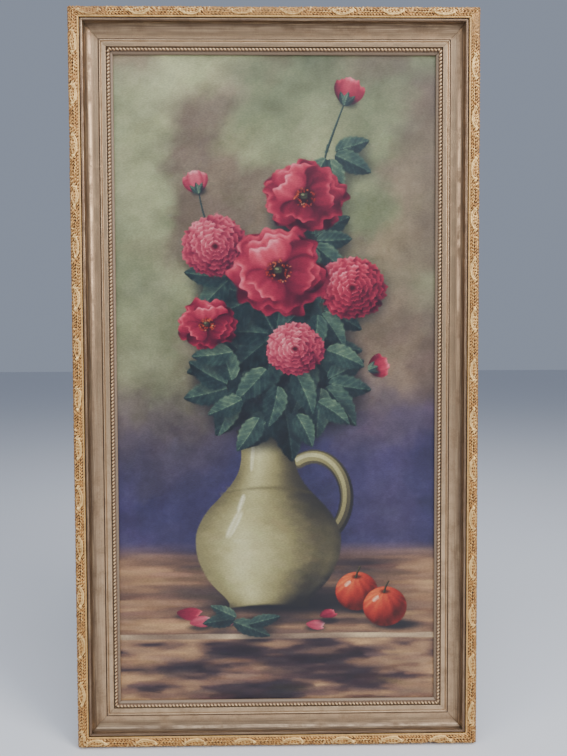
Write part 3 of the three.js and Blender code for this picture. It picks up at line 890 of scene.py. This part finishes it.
def paint_background(p):
    """Soft clouds of sage and straw above, turning through a warm taupe to a dusky plum below."""
    x, y = p.grid()
    soft = cloud(x / 120 + 3, y / 150 + 2, 101, 3)
    patch = cloud(x / 80 + 9, y / 95 + 5, 105, 3)
    blush = cloud(x / 105 + 1, y / 105 + 8, 109, 2)
    leftward = smoothstep(150, -200, x)
    sage_tones = tone((72, 78, 62), (100, 106, 78), (128, 132, 98), (156, 158, 118))
    sage = shade(sage_tones, soft * 1.2 - 0.22 + 0.3 * leftward)
    taupe = shade(tone((74, 58, 56), (104, 86, 74), (138, 118, 94)), patch * 1.2 - 0.1)
    plum = shade(tone((34, 32, 56), (48, 44, 78), (70, 60, 92)), patch * 1.1)
    warm = smoothstep(0.5, 0.74, blush + 0.16 * (x / 220) + 0.14 * smoothstep(130, 420, y))
    colours = sage + (taupe - sage) * (warm * 0.8)[..., None]
    down = smoothstep(290, 470, y + 120 * (patch - 0.5) - 60 * leftward)
    colours = colours + (taupe - colours) * (down * 0.85)[..., None]
    deep = smoothstep(400, 570, y + 110 * (soft - 0.5) - 30 * leftward)
    colours = colours + (plum - colours) * deep[..., None]
    p.paint[:] = colours
    p.dabs(900, (-235, 235, -12, 700), (-35, 35), 58, 26, 3.4, 0.4)
    p.dabs(1100, (-235, 235, -12, 700), (-35, 40), 24, 9, 3.4, 0.35)
    p.paint += ((cloud(x / 5, y / 4, 113, 3) - 0.5) * 12)[..., None]
    p.paint *= (1 + (cloud(x / 30 + 5, y / 22, 119, 3) - 0.5) * 0.3)[..., None]


def paint_table(p):
    """A plank top seen a little from above, its pale front edge, and dim reflections below it."""
    x, y = p.grid()
    wave = cloud(x / 150 + 4, 0 * x + 2, 121, 2) * 8
    top = smoothstep(672, 704, y + wave)
    streaks = cloud(x / 120 + 3, y / 9 + 1, 125, 3)
    glow = smoothstep(110, 215, x) * 0.3 + smoothstep(-90, -190, x) * 0.34 + 0.2 * smoothstep(770, 800, y)
    plank = shade(tone((46, 38, 44), (82, 62, 56), (126, 94, 72), (174, 136, 96)), streaks * 1.1 - 0.2 + glow)
    p.lay(p.paint, top, plank)
    edge = smoothstep(802, 803.5, y + wave * 0.3) * smoothstep(811, 809, y + wave * 0.3)
    below = smoothstep(808, 812, y + wave * 0.3)
    smear = cloud(x / 60 + 7, y / 12 + 4, 131, 3)
    sides = smoothstep(30, 190, np.abs(x)) * 0.32 + 0.16 * smoothstep(820, 880, y)
    front = shade(tone((34, 28, 38), (56, 42, 48), (120, 90, 72), (182, 144, 100)), smear * 1.5 - 0.5 + sides)
    p.lay(p.paint, below, front)
    pale = shade(tone((96, 76, 66), (196, 170, 132)), cloud(x / 60, y / 14, 137, 2) * 1.5 - 0.1)
    p.lay(p.paint, edge, pale)
    p.dabs(420, (-235, 235, 705, 800), (0, 3), 52, 6, 6, 0.5)
    p.dabs(300, (-235, 235, 822, 905), (0, 6), 44, 7, 7, 0.5)
    p.paint += (((cloud(x / 14, y / 3, 117, 2) - 0.5) * 10) * top)[..., None]


JUG_X, JUG_FOOT, JUG_TOP = -12.0, 758.0, 508.0


def jug_half_width(h):
    """The jug's half width at a height h, 0 at its foot and 1 at its rim: a round belly and a short neck."""
    heights = [0.0, 0.03, 0.12, 0.26, 0.4, 0.52, 0.62, 0.7, 0.78, 0.88, 0.96, 1.0]
    widths = [52.0, 60.0, 84.0, 101.0, 103.0, 88.0, 63.0, 46.0, 38.0, 37.0, 43.0, 47.0]
    return np.interp(h, heights, widths)


def paint_jug(p):
    """A squat stoneware jug with a loop handle, lit from the upper left, with a dark side on the right."""
    p.shadow(JUG_X + 50, JUG_FOOT - 2, 190, 26, 0.85)
    p.shadow(JUG_X + 10, JUG_FOOT + 2, 110, 16, 0.8)
    for width, lift, back in ((20, 0.04, 0.0), (14, 0.34, 1.2), (6, 0.62, 2.6)):
        for turn in np.radians(np.linspace(-122, 112, 110)):
            x = JUG_X + 66 + 44 * math.cos(turn) - back
            y = 604 + 54 * math.sin(turn) + 10 * (turn + 2) / 4 - back
            part, dx, dy = p.window(x, y, width)
            light = lift + 0.2 * math.cos(turn + 2.0)
            cover = smoothstep(1.05, 0.8, np.hypot(dx, dy) / (width / 2))
            p.lay(part, cover, shade(JUG_TONES, np.array(light)))
    middle = (JUG_FOOT + JUG_TOP) / 2
    part, dx, dy = p.window(JUG_X, middle, 145)
    h = (JUG_FOOT - middle - dy + 0 * dx) / (JUG_FOOT - JUG_TOP)
    fine = np.linspace(0, 1, 241)
    rounded = np.convolve(np.pad(jug_half_width(fine), 12, mode="edge"), np.ones(25) / 25, mode="valid")
    half = np.interp(h, fine, rounded)
    bend = dx / half
    cover = smoothstep(1.008, 0.985, np.abs(bend)) * smoothstep(-0.035, -0.02, h - 0.02 * (1 - bend**2))
    cover = cover * smoothstep(1.02, 1.0, h + 0.035 * bend**2)
    across = np.clip(bend, -1, 1)
    slope = np.gradient(half[:, 0])[:, None] / CELL_MM
    t = 0.66 - 0.52 * smoothstep(-0.15, 1.0, across) - 0.22 * smoothstep(-0.5, -1.0, across)
    t = t - 0.12 * np.clip(slope, -1, 1) + 0.16 * np.exp(-(((across + 0.36) / 0.26) ** 2))
    t = t - 0.4 * smoothstep(0.3, 0.0, h) * (0.6 + 0.4 * across)
    t = t + 0.1 * (cloud(dx / 22 + 5, dy / 9 + 20, 141, 2) - 0.5)
    t = t - 0.35 * smoothstep(0.86, 1.0, h)
    reflected = np.exp(-(((across - 0.86) / 0.09) ** 2)) * 0.12 * smoothstep(0.7, 0.1, h)
    p.lay(part, cover, shade(JUG_TONES, t + reflected))
    band = np.exp(-(((h + 0.03 * across**2 - 0.655) / 0.008) ** 2)) * cover
    p.lay(part, band * 0.5, np.array((70.0, 64, 44)))
    p.dabs(320, (JUG_X - 95, JUG_X + 95, 600, 745), (12, 24), 26, 8, 4.5, 0.4,
           lambda x, y: abs(x - JUG_X) < 0.84 * jug_half_width((JUG_FOOT - y) / (JUG_FOOT - JUG_TOP)))
    for x, y, angle, length, width, strength in (
        (-60, 646, -62, 46, 12, 0.6), (-50, 616, -70, 28, 8, 0.7), (-34, 552, -86, 40, 6, 0.55),
    ):
        p.dab(x, y, angle, length, width, np.array((232.0, 230, 200)), strength)


def paint_poppy(p, x, y, radius, turn, squash, tones=BLOOM_TONES, lift=0.0):
    """Broad crinkled petals in three layers round a dark eye with a ring of fine stamens."""
    p.shadow(x + 6, y + 9, radius * 1.35, radius * 1.25 * squash, 0.8)
    for layer, (count, size, light) in enumerate(((5, 1.0, 0.22), (4, 0.88, 0.36), (3, 0.7, 0.48))):
        for k in range(count):
            angle = turn + 360 * k / count + 40 * layer + p.random.uniform(-12, 12)
            reach = radius * size * p.random.uniform(0.92, 1.06)
            foot_x, foot_y = step(angle, 2)
            lit = light + lift + flower_light(angle) + p.random.uniform(-0.05, 0.05)
            p.petal(x + foot_x, y + foot_y, angle, reach, radius * 1.45 * size, lit, tones, 0.07, squash, 7.0)
    part, dx, dy = p.window(x, y, radius * 0.5)
    eye = np.hypot(dx, dy / squash) / radius
    p.lay(part, smoothstep(0.36, 0.14, eye) * 0.9, np.array((30.0, 12, 26)))
    for _ in range(50):
        turn_k, far = p.random.uniform(0, 2 * math.pi), radius * p.random.uniform(0.14, 0.3)
        ex, ey = x + far * math.cos(turn_k), y + far * math.sin(turn_k) * squash
        angle = p.random.uniform(0, 180)
        stamen = shade(APPLE_TONES, np.array(p.random.uniform(0.2, 0.9)))
        p.dab(ex, ey, angle, 3.2, 2.2, stamen, 0.8)
    p.dab(x - 1, y - 1, 0, radius * 0.2, radius * 0.17, np.array((60.0, 68, 50)), 0.95)
    p.dab(x - 2.5, y - 2.5, 20, radius * 0.09, radius * 0.06, np.array((128.0, 132, 92)), 0.9)


def paint_dahlia(p, x, y, radius, turn, squash, tones=BLUSH_TONES, lift=0.0):
    """Rings of narrow petals, smaller and closer towards the middle, each ring turned by half a petal. The
    head is round, so it darkens towards the lower right."""
    p.shadow(x + 6, y + 9, radius * 1.3, radius * 1.2 * squash, 0.8)
    rings = ((1.0, 15), (0.87, 14), (0.73, 13), (0.58, 11), (0.43, 9), (0.29, 7), (0.17, 5))
    for ring, (size, count) in enumerate(rings):
        for k in range(count):
            angle = turn + 360 * (k + 0.5 * (ring % 2)) / count + p.random.uniform(-6, 6)
            light = 0.24 + 0.05 * ring + lift + flower_light(angle) * (1.3 - 0.1 * ring)
            light = light + p.random.uniform(-0.08, 0.08)
            foot_x, foot_y = step(angle, radius * size * 0.28)
            reach = radius * size * 0.74 * p.random.uniform(0.93, 1.05)
            p.petal(x + foot_x, y + foot_y * squash, angle, reach, radius * size * 8.4 / count,
                    light, tones, 0.04, squash, 2.2)
    p.shadow(x, y, radius * 0.16, radius * 0.14, 0.8, (60, 12, 30))


def paint_bud(p, x, y, angle, size, tones=BLOOM_TONES):
    """A closed bud in its green cup."""
    for k, spread in enumerate((-20, 20, 0)):
        length, light = size * (1.0 + 0.08 * (k == 2)), 0.34 + 0.13 * k
        p.petal(x, y, angle + spread, length, size * 0.72, light, tones, 0.02, 1, 3.0)
    for spread in (-34, 32, 0):
        p.leaf(x, y, angle + spread, size * 0.55, size * 0.24, 0.42)


def paint_apple(p, x, y, radius):
    """A round apple, lit from the upper left, with a dimple and a stalk."""
    p.shadow(x + radius * 0.5, y + radius * 0.84, radius * 1.6, radius * 0.36, 0.9)
    part, dx, dy = p.window(x, y, radius * 1.2)
    a, b = dx / radius, dy / (radius * 0.92)
    r = np.hypot(a, b)
    depth = np.sqrt(np.clip(1 - r**2, 0, 1))
    lit = np.clip(-0.55 * a - 0.6 * b + 0.58 * depth, 0, 1)
    streak = cloud(np.arctan2(b + 0.9, a) * 9 + 30, r * 2 + 3, 151, 2) - 0.5
    t = 0.06 + 0.66 * lit + 0.24 * streak + 0.1 * smoothstep(0.7, 1.0, r) * (a > 0)
    p.lay(part, smoothstep(1.02, 0.97, r), shade(APPLE_TONES, t))
    p.shadow(x, y - radius * 0.68, radius * 0.34, radius * 0.15, 0.8, (54, 20, 20))
    glint = np.array((240.0, 214, 186))
    p.dab(x - radius * 0.42, y - radius * 0.36, -40, radius * 0.4, radius * 0.22, glint, 0.7)
    stalk = [(x - 1, y - radius * 0.66), (x + 1, y - radius * 0.95), (x + 5, y - radius * 1.15)]
    p.line(stalk, 3.4, JUG_TONES * 0.6, 0.3, 0.8)


STEMS = [  # from, bend, to, width
    ((-14, 520), (-46, 380), (-78, 250), 5.0), ((-8, 520), (0, 360), (26, 210), 5.5),
    ((-4, 520), (30, 330), (72, 120), 5.5), ((0, 520), (60, 420), (112, 330), 5.0),
    ((70, 130), (82, 96), (94, 66), 4.0), ((-78, 262), (-100, 226), (-106, 182), 3.8),
]
# Rosettes of leaves: middle, number, first angle, length, width, light
ROSETTES = [
    ((-6, 430), 9, 10, 104, 48, 0.22), ((8, 470), 7, 30, 78, 42, 0.28), ((-44, 408), 6, 95, 72, 38, 0.36),
    ((44, 404), 6, -75, 74, 38, 0.34), ((-2, 380), 8, 12, 76, 40, 0.28), ((-60, 452), 4, 110, 62, 34, 0.44),
    ((64, 446), 4, -35, 66, 34, 0.42), ((-28, 330), 5, 130, 66, 34, 0.40), ((58, 344), 5, -60, 64, 34, 0.38),
    ((48, 250), 5, -70, 58, 32, 0.38), ((-60, 300), 4, 140, 56, 30, 0.46), ((74, 130), 4, -20, 56, 30, 0.46),
]
FRONT_LEAVES = [  # x, y, angle, length, width, light
    (-14, 428, 128, 62, 34, 0.50), (26, 432, 62, 64, 34, 0.48), (2, 452, 98, 58, 32, 0.44),
    (-62, 404, 168, 56, 30, 0.54), (70, 402, 18, 58, 30, 0.52), (-24, 496, 118, 56, 30, 0.52),
    (28, 492, 58, 50, 28, 0.52), (-48, 470, 150, 52, 28, 0.5), (58, 474, 30, 54, 28, 0.5),
]


def paint_flowers(p):
    """A spray that leans up to the right: stems, a dark mass of leaves, then blooms from back to front."""
    for start, bend, end, width in STEMS:
        p.line([start, bend, end], width, LEAF_TONES, 0.42, 0.6)
    for x, y, across, down in ((-4, 420, 112, 96), (4, 340, 92, 80), (36, 230, 62, 60), (-60, 330, 62, 60)):
        p.shadow(x, y, across, down, 0.9, (22, 30, 38))
    for (x, y), count, turn, length, width, light in ROSETTES:
        for k in range(count):
            angle = turn + (360 if count > 5 else 190) * k / count + p.random.uniform(-10, 10)
            size = p.random.uniform(0.85, 1.1)
            foot_x, foot_y = step(angle, 9)
            lit = light + p.random.uniform(-0.06, 0.08)
            curl = p.random.uniform(-0.16, 0.16)
            p.leaf(x + foot_x, y + foot_y, angle, length * size, width * size, lit, curl=curl)
    paint_poppy(p, 40, 190, 54, 20, 0.86, BLOOM_TONES, -0.02)
    paint_dahlia(p, -84, 258, 46, 10, 0.92, BLUSH_TONES, -0.06)
    paint_dahlia(p, 106, 316, 47, 0, 0.9, BLOOM_TONES, 0.02)
    for leaf in FRONT_LEAVES:
        p.leaf(*leaf, curl=0.1)
    paint_poppy(p, -96, 366, 38, 60, 0.8, BLOOM_TONES, 0.0)
    paint_poppy(p, 4, 292, 62, 45, 0.9, BLOOM_TONES, 0.06)
    paint_dahlia(p, 26, 400, 40, 5, 0.88, BLUSH_TONES, 0.0)
    paint_bud(p, 95, 66, -72, 36)
    paint_bud(p, -106, 186, -104, 30, BLUSH_TONES)
    paint_bud(p, 128, 430, -20, 28)
    p.dabs(2600, (-150, 160, 90, 520), (30, 60), 8, 3, 9, 0.3)


def paint_table_things(p):
    """Two apples, fallen petals and a sprig on the table, in front of the jug."""
    paint_apple(p, 112, 742, 30)
    paint_apple(p, 152, 764, 31)
    for x, y, angle, length, light, tones in (
        (-142, 770, 12, 34, 0.5, BLOOM_TONES), (-124, 786, -14, 30, 0.6, BLUSH_TONES),
        (-86, 780, 24, 26, 0.5, BLOOM_TONES), (40, 788, 8, 26, 0.6, BLUSH_TONES),
        (60, 778, -30, 24, 0.5, BLOOM_TONES),
    ):
        p.shadow(x + length * 0.5, y + 6, length * 0.8, 7, 0.7)
        p.petal(x, y, angle, length, length * 0.9, light, tones, 0.04, 0.6, 3.0)
    for x, y, angle, length, width, light in (
        (-60, 780, 172, 46, 20, 0.4), (-62, 784, 22, 56, 22, 0.44), (-58, 778, 205, 40, 17, 0.5),
        (-40, 788, -14, 46, 18, 0.4),
    ):
        p.leaf(x, y, angle, length, width, light)


def painted_picture():
    """The whole picture in its own order of painting, as light on a grid: rows from the bottom up."""
    across, down = BLOCKS_ACROSS * BLOCK + 1, BLOCKS_UP * BLOCK + 1
    p = Picture(across, down, top=-9.7, seed=17)
    paint_background(p)
    paint_table(p)
    paint_jug(p)
    paint_flowers(p)
    paint_table_things(p)
    return to_light(np.clip(p.paint[::-1] / 255, 0, 1))


# ---------------------------------------------------------------- the canvas

PATCH_COUNT = 74000  # as many as keep the canvas under 200,000 triangles
COARSE_SIZES = (8, 4, 2)  # the sizes of patch that can be split, in the finest ones
TOLERANCE_HALVINGS = 24


def patch_errors(values, size):
    """For each patch of a size: how far its points lie from the blend of its corners, root mean square."""
    corners = values[::size, ::size]
    t = (np.arange(size) / size)[None, None, :, None]
    rows = corners[:-1, :, None] * (1 - t) + corners[1:, :, None] * t
    rows = rows.transpose(0, 2, 1, 3).reshape(-1, corners.shape[1], 3)
    whole = rows[:, :-1, None] * (1 - t) + rows[:, 1:, None] * t
    whole = whole.reshape(rows.shape[0], -1, 3)
    off = ((values[:-1, :-1] - whole) ** 2).sum(-1)
    down, across = off.shape
    return np.sqrt(off.reshape(down // size, size, across // size, size).mean(axis=(1, 3))) * size


def split_patches(values, most):
    """Marks which patches of each size are drawn: {size: mask}. A patch is split into four while the paint in
    it differs from its corners' blend by more than a tolerance, and halving finds the tolerance that gives
    the most patches allowed. The blocks at the edge, which the frame hides, are never split."""
    errors = {size: patch_errors(values, size) for size in COARSE_SIZES}

    def leaves(tolerance):
        drawn, open_patches = {}, np.zeros((BLOCKS_UP, BLOCKS_ACROSS), dtype=bool)
        open_patches[1:-1, 1:-1] = True
        present = np.ones_like(open_patches)
        for size in COARSE_SIZES:
            split = present & open_patches & (errors[size] > tolerance)
            drawn[size] = present & ~split
            present = np.repeat(np.repeat(split, 2, axis=0), 2, axis=1)
            open_patches = present
        drawn[1] = present
        return drawn

    small, large = 0.0, 2.0
    for _ in range(TOLERANCE_HALVINGS):
        tolerance = (small + large) / 2
        if sum(int(mask.sum()) for mask in leaves(tolerance).values()) > most:
            small = tolerance
        else:
            large = tolerance
    return leaves(large)


def patch_polygons(drawn, shape):
    """The patches as polygons over the grid's points, anticlockwise: a patch beside smaller ones takes in
    their corners, so that no seam opens. Returns the corner counts, the corners, one polygon after another,
    and which points are corners."""
    corner = np.zeros(shape, dtype=bool)
    places = {}
    for size, mask in drawn.items():
        j, i = np.nonzero(mask)
        places[size] = (j * size, i * size)
        for dj, di in ((0, 0), (0, size), (size, size), (size, 0)):
            corner[j * size + dj, i * size + di] = True
    counts, corners = [], []
    for size, (j, i) in places.items():
        step, zero, full = np.arange(size), np.zeros(size, int), np.full(size, size)
        dj = np.concatenate([zero, step, full, size - step])
        di = np.concatenate([step, full, size - step, zero])
        rows, columns = j[:, None] + dj, i[:, None] + di
        used = corner[rows, columns]
        counts.append(used.sum(axis=1))
        corners.append((rows * shape[1] + columns)[used])
    return np.concatenate(counts), np.concatenate(corners), corner


def edge_ring():
    """The grid places (row, column) of the outermost blocks' corners, anticlockwise from the lower left."""
    up, over = np.arange(BLOCKS_UP), np.arange(BLOCKS_ACROSS)
    rows = np.concatenate([0 * over, up, 0 * over + BLOCKS_UP, BLOCKS_UP - up])
    columns = np.concatenate([over, 0 * up + BLOCKS_ACROSS, BLOCKS_ACROSS - over, 0 * up])
    return rows, columns


def ring_quads(first, second):
    """Quads from one ring of point numbers to the next."""
    return np.column_stack([first, second, np.roll(second, -1), np.roll(first, -1)])


def build_canvas():
    """The painted front as patches of paint, folded back round the stretcher, with a plain inner face."""
    paint = painted_picture()
    counts, corners, corner = patch_polygons(split_patches(np.sqrt(paint), PATCH_COUNT), paint.shape[:2])
    used = np.flatnonzero(corner)
    number = np.zeros(corner.size, dtype=int)
    number[used] = np.arange(len(used))
    rows, columns = np.divmod(used, corner.shape[1])
    wide, tall = CANVAS_HIGH.x - CANVAS_LOW.x, CANVAS_HIGH.z - CANVAS_LOW.z

    def place(row_share, column_share, inset, y):
        x = CANVAS_LOW.x + inset + (wide - 2 * inset) * column_share
        z = CANVAS_LOW.z + inset + (tall - 2 * inset) * row_share
        return np.column_stack([x, np.full(len(x), y), z])

    ring_rows, ring_columns = edge_ring()
    up, over = ring_rows / BLOCKS_UP, ring_columns / BLOCKS_ACROSS
    inner_rows, inner_columns = np.divmod(np.arange((BLOCKS_UP + 1) * (BLOCKS_ACROSS + 1)), BLOCKS_ACROSS + 1)
    front = place(rows / (BLOCKS_UP * BLOCK), columns / (BLOCKS_ACROSS * BLOCK), 0, CANVAS_LOW.y)
    outer_rim = place(up, over, 0, CANVAS_HIGH.y)
    inner_rim = place(up, over, MM, CANVAS_HIGH.y)
    inner = place(inner_rows / BLOCKS_UP, inner_columns / BLOCKS_ACROSS, MM, CANVAS_LOW.y + MM)
    points = np.vstack([front, outer_rim, inner_rim, inner])

    first_rim = len(front)
    first_inner = first_rim + 2 * len(ring_rows)
    front_ring = number[ring_rows * BLOCK * corner.shape[1] + ring_columns * BLOCK]
    rim_ring = first_rim + np.arange(len(ring_rows))
    inner_rim_ring = rim_ring + len(ring_rows)
    inner_ring = first_inner + ring_rows * (BLOCKS_ACROSS + 1) + ring_columns
    j, i = np.divmod(np.arange(BLOCKS_UP * BLOCKS_ACROSS), BLOCKS_ACROSS)
    at = first_inner + j * (BLOCKS_ACROSS + 1) + i
    quads = np.vstack([
        ring_quads(front_ring, rim_ring), ring_quads(rim_ring, inner_rim_ring),
        ring_quads(inner_rim_ring, inner_ring),
        np.column_stack([at, at + BLOCKS_ACROSS + 1, at + BLOCKS_ACROSS + 2, at + 1]),
    ])
    corners = np.concatenate([number[corners], quads.ravel()])
    counts = np.concatenate([counts, np.full(len(quads), 4)])

    mesh = bpy.data.meshes.new("painted_canvas")
    mesh.vertices.add(len(points))
    mesh.vertices.foreach_set("co", points.astype(np.float32).ravel())
    mesh.loops.add(len(corners))
    mesh.loops.foreach_set("vertex_index", corners.astype(np.int32))
    mesh.polygons.add(len(counts))
    mesh.polygons.foreach_set("loop_start", (np.cumsum(counts) - counts).astype(np.int32))
    mesh.update(calc_edges=True)
    colours = np.ones((len(points), 4), dtype=np.float32)
    colours[:, :3] = 0.3
    colours[:first_rim, :3] = paint.reshape(-1, 3)[used]
    mesh.color_attributes.new("paint", "FLOAT_COLOR", "POINT").data.foreach_set("color", colours.ravel())
    painted = (np.arange(len(points)) < first_rim).astype(np.float32)
    mesh.attributes.new("painted", "FLOAT", "POINT").data.foreach_set("value", painted)
    piece = bpy.data.objects.new("painted_canvas", mesh)
    bpy.context.scene.collection.objects.link(piece)
    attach(piece, "root")
    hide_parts("canvas")
    return piece


def canvas_material():
    """Oil paint over a fine weave, under an old varnish; bare linen behind."""
    material, s = new_material("oil paint and linen")
    place = s.add("ShaderNodeTexCoord").outputs["Object"]
    painted = s.attribute("painted")
    wave = {"Vector": place, "Scale": 160.0, "Distortion": 0.6}
    threads = [s.add("ShaderNodeTexWave", wave, bands_direction=way).outputs["Fac"] for way in ("X", "Z")]
    weave = s.math("MAXIMUM", *threads)
    bristle = s.noise(s.stretched(place, (1.0, 1.0, 2.6)), 300.0, 3.0)
    linen = s.mix(weave, colour(120, 100, 72), colour(176, 156, 120))
    stains = s.group(TARNISH, {"Vector": place, "Size": 14.0, "Amount": 0.4}).outputs["Mask"]
    linen = s.mix(stains, linen, colour(120, 92, 60))
    paint = s.mix(s.band(bristle, 0.3, 0.7, 0.0, 0.24), s.attribute("paint", "Color"), colour(20, 14, 10))
    base = s.mix(painted, linen, paint)
    height = s.math("ADD", s.math("MULTIPLY", weave, 0.6), bristle)
    bump = s.add("ShaderNodeBump", {"Height": height, "Distance": 0.00006, "Strength": 0.5}).outputs[0]
    finish_material(s, base, s.band(painted, 0.0, 1.0, 0.9, 0.42), 0.0, bump, Specular_IOR_Level=0.4)
    return material


# ---------------------------------------------------------------- everything in its place


def give(piece, material):
    """Makes a material the piece's only one."""
    piece.data.materials.clear()
    piece.data.materials.append(material)


BRONZED = bronzed_wood_material()
# the gilt colours: the painted highlight on what stands proud, the body colour, and the painted shade in the
# recesses
GILT = gilt_material(
    "gilt composition", colour(238, 198, 128), colour(176, 122, 58), colour(44, 28, 18),
    low_rise=-0.9, high_rise=1.6,
)
BEAD_GILT = gilt_material(
    "gilt beads", colour(226, 194, 150), colour(156, 124, 90), colour(104, 82, 64),
    low_rise=0.2, high_rise=1.15,
)

for side in SIDES:
    give(build_moulding(side), BRONZED)
    give(build_ornament(side), GILT)
    give(build_beads(side), BEAD_GILT)
give(build_canvas(), canvas_material())

pine_level = plain_wood_material("pine, level", colour(206, 168, 118), colour(166, 124, 78), "X")
pine_upright = plain_wood_material("pine, upright", colour(206, 168, 118), colour(166, 124, 78), "Z")
beech = plain_wood_material("beech", colour(190, 146, 104), colour(150, 108, 72), "X")
steel = metal_material("old steel", colour(150, 146, 140), colour(96, 70, 52))
brass = metal_material("old brass", colour(206, 170, 96), colour(112, 88, 52))
for place in ("top", "bottom"):
    give(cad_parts[f"stretcher_{place}"], pine_level)
for place in ("left", "right"):
    give(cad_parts[f"stretcher_{place}"], pine_upright)
    give(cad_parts[f"screw_eye_{place}"], brass)
for number in range(1, 9):
    give(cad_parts[f"stretcher_key_{number}"], beech)
    give(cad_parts[f"brad_{number}"], steel)

# ---------------------------------------------------------------- floor, light and camera


def area_light(name, place, target, size, power, warmth):
    """A soft rectangular light of a size in metres and a power in watts, turned towards its target."""
    light = bpy.data.lights.new(name, "AREA")
    light.shape = "RECTANGLE"
    light.size, light.size_y = size
    light.energy = power
    light.color = warmth
    lamp = bpy.data.objects.new(name, light)
    lamp.location = place
    aim = Vector(target) - Vector(place)
    lamp.rotation_euler = aim.to_track_quat("-Z", "Y").to_euler()
    bpy.context.scene.collection.objects.link(lamp)


def build_floor():
    """A wide level floor at the object's lowest place."""
    z = cad_bounds[0].z
    points = np.array([(-30, -30, z), (30, -30, z), (30, 30, z), (-30, 30, z)], dtype=float)
    floor = make_piece("floor", points, [[0, 1, 2, 3]])
    material, s = new_material("pale floor")
    finish_material(s, colour(226, 227, 230), 0.9)
    give(floor, material)


build_floor()
area_light("sky", (0.3, -1.5, 2.0), (0, 0, -0.35), (2.8, 1.6), 78, (0.82, 0.9, 1.0))
area_light("window", (1.9, -1.7, 0.7), (0, 0, -0.45), (1.0, 1.8), 66, (1.0, 0.96, 0.92))
area_light("fill", (-2.2, -1.7, 0.5), (0, 0, -0.5), (1.4, 1.6), 40, (1.0, 0.96, 0.92))
world = bpy.data.worlds.new("pale room")
world.use_nodes = True
world.node_tree.nodes["Background"].inputs["Color"].default_value = colour(204, 216, 240)
world.node_tree.nodes["Background"].inputs["Strength"].default_value = 0.42
bpy.context.scene.world = world

camera_data = bpy.data.cameras.new("camera")
camera_data.lens = 27.05
camera_data.sensor_width = 36
camera = bpy.data.objects.new("camera", camera_data)
camera.location = (0.0004, -0.8183, -0.4505)
camera.rotation_euler = tuple(math.radians(a) for a in (88.297, 0.225, -0.698))
bpy.context.scene.collection.objects.link(camera)
bpy.context.scene.camera = camera
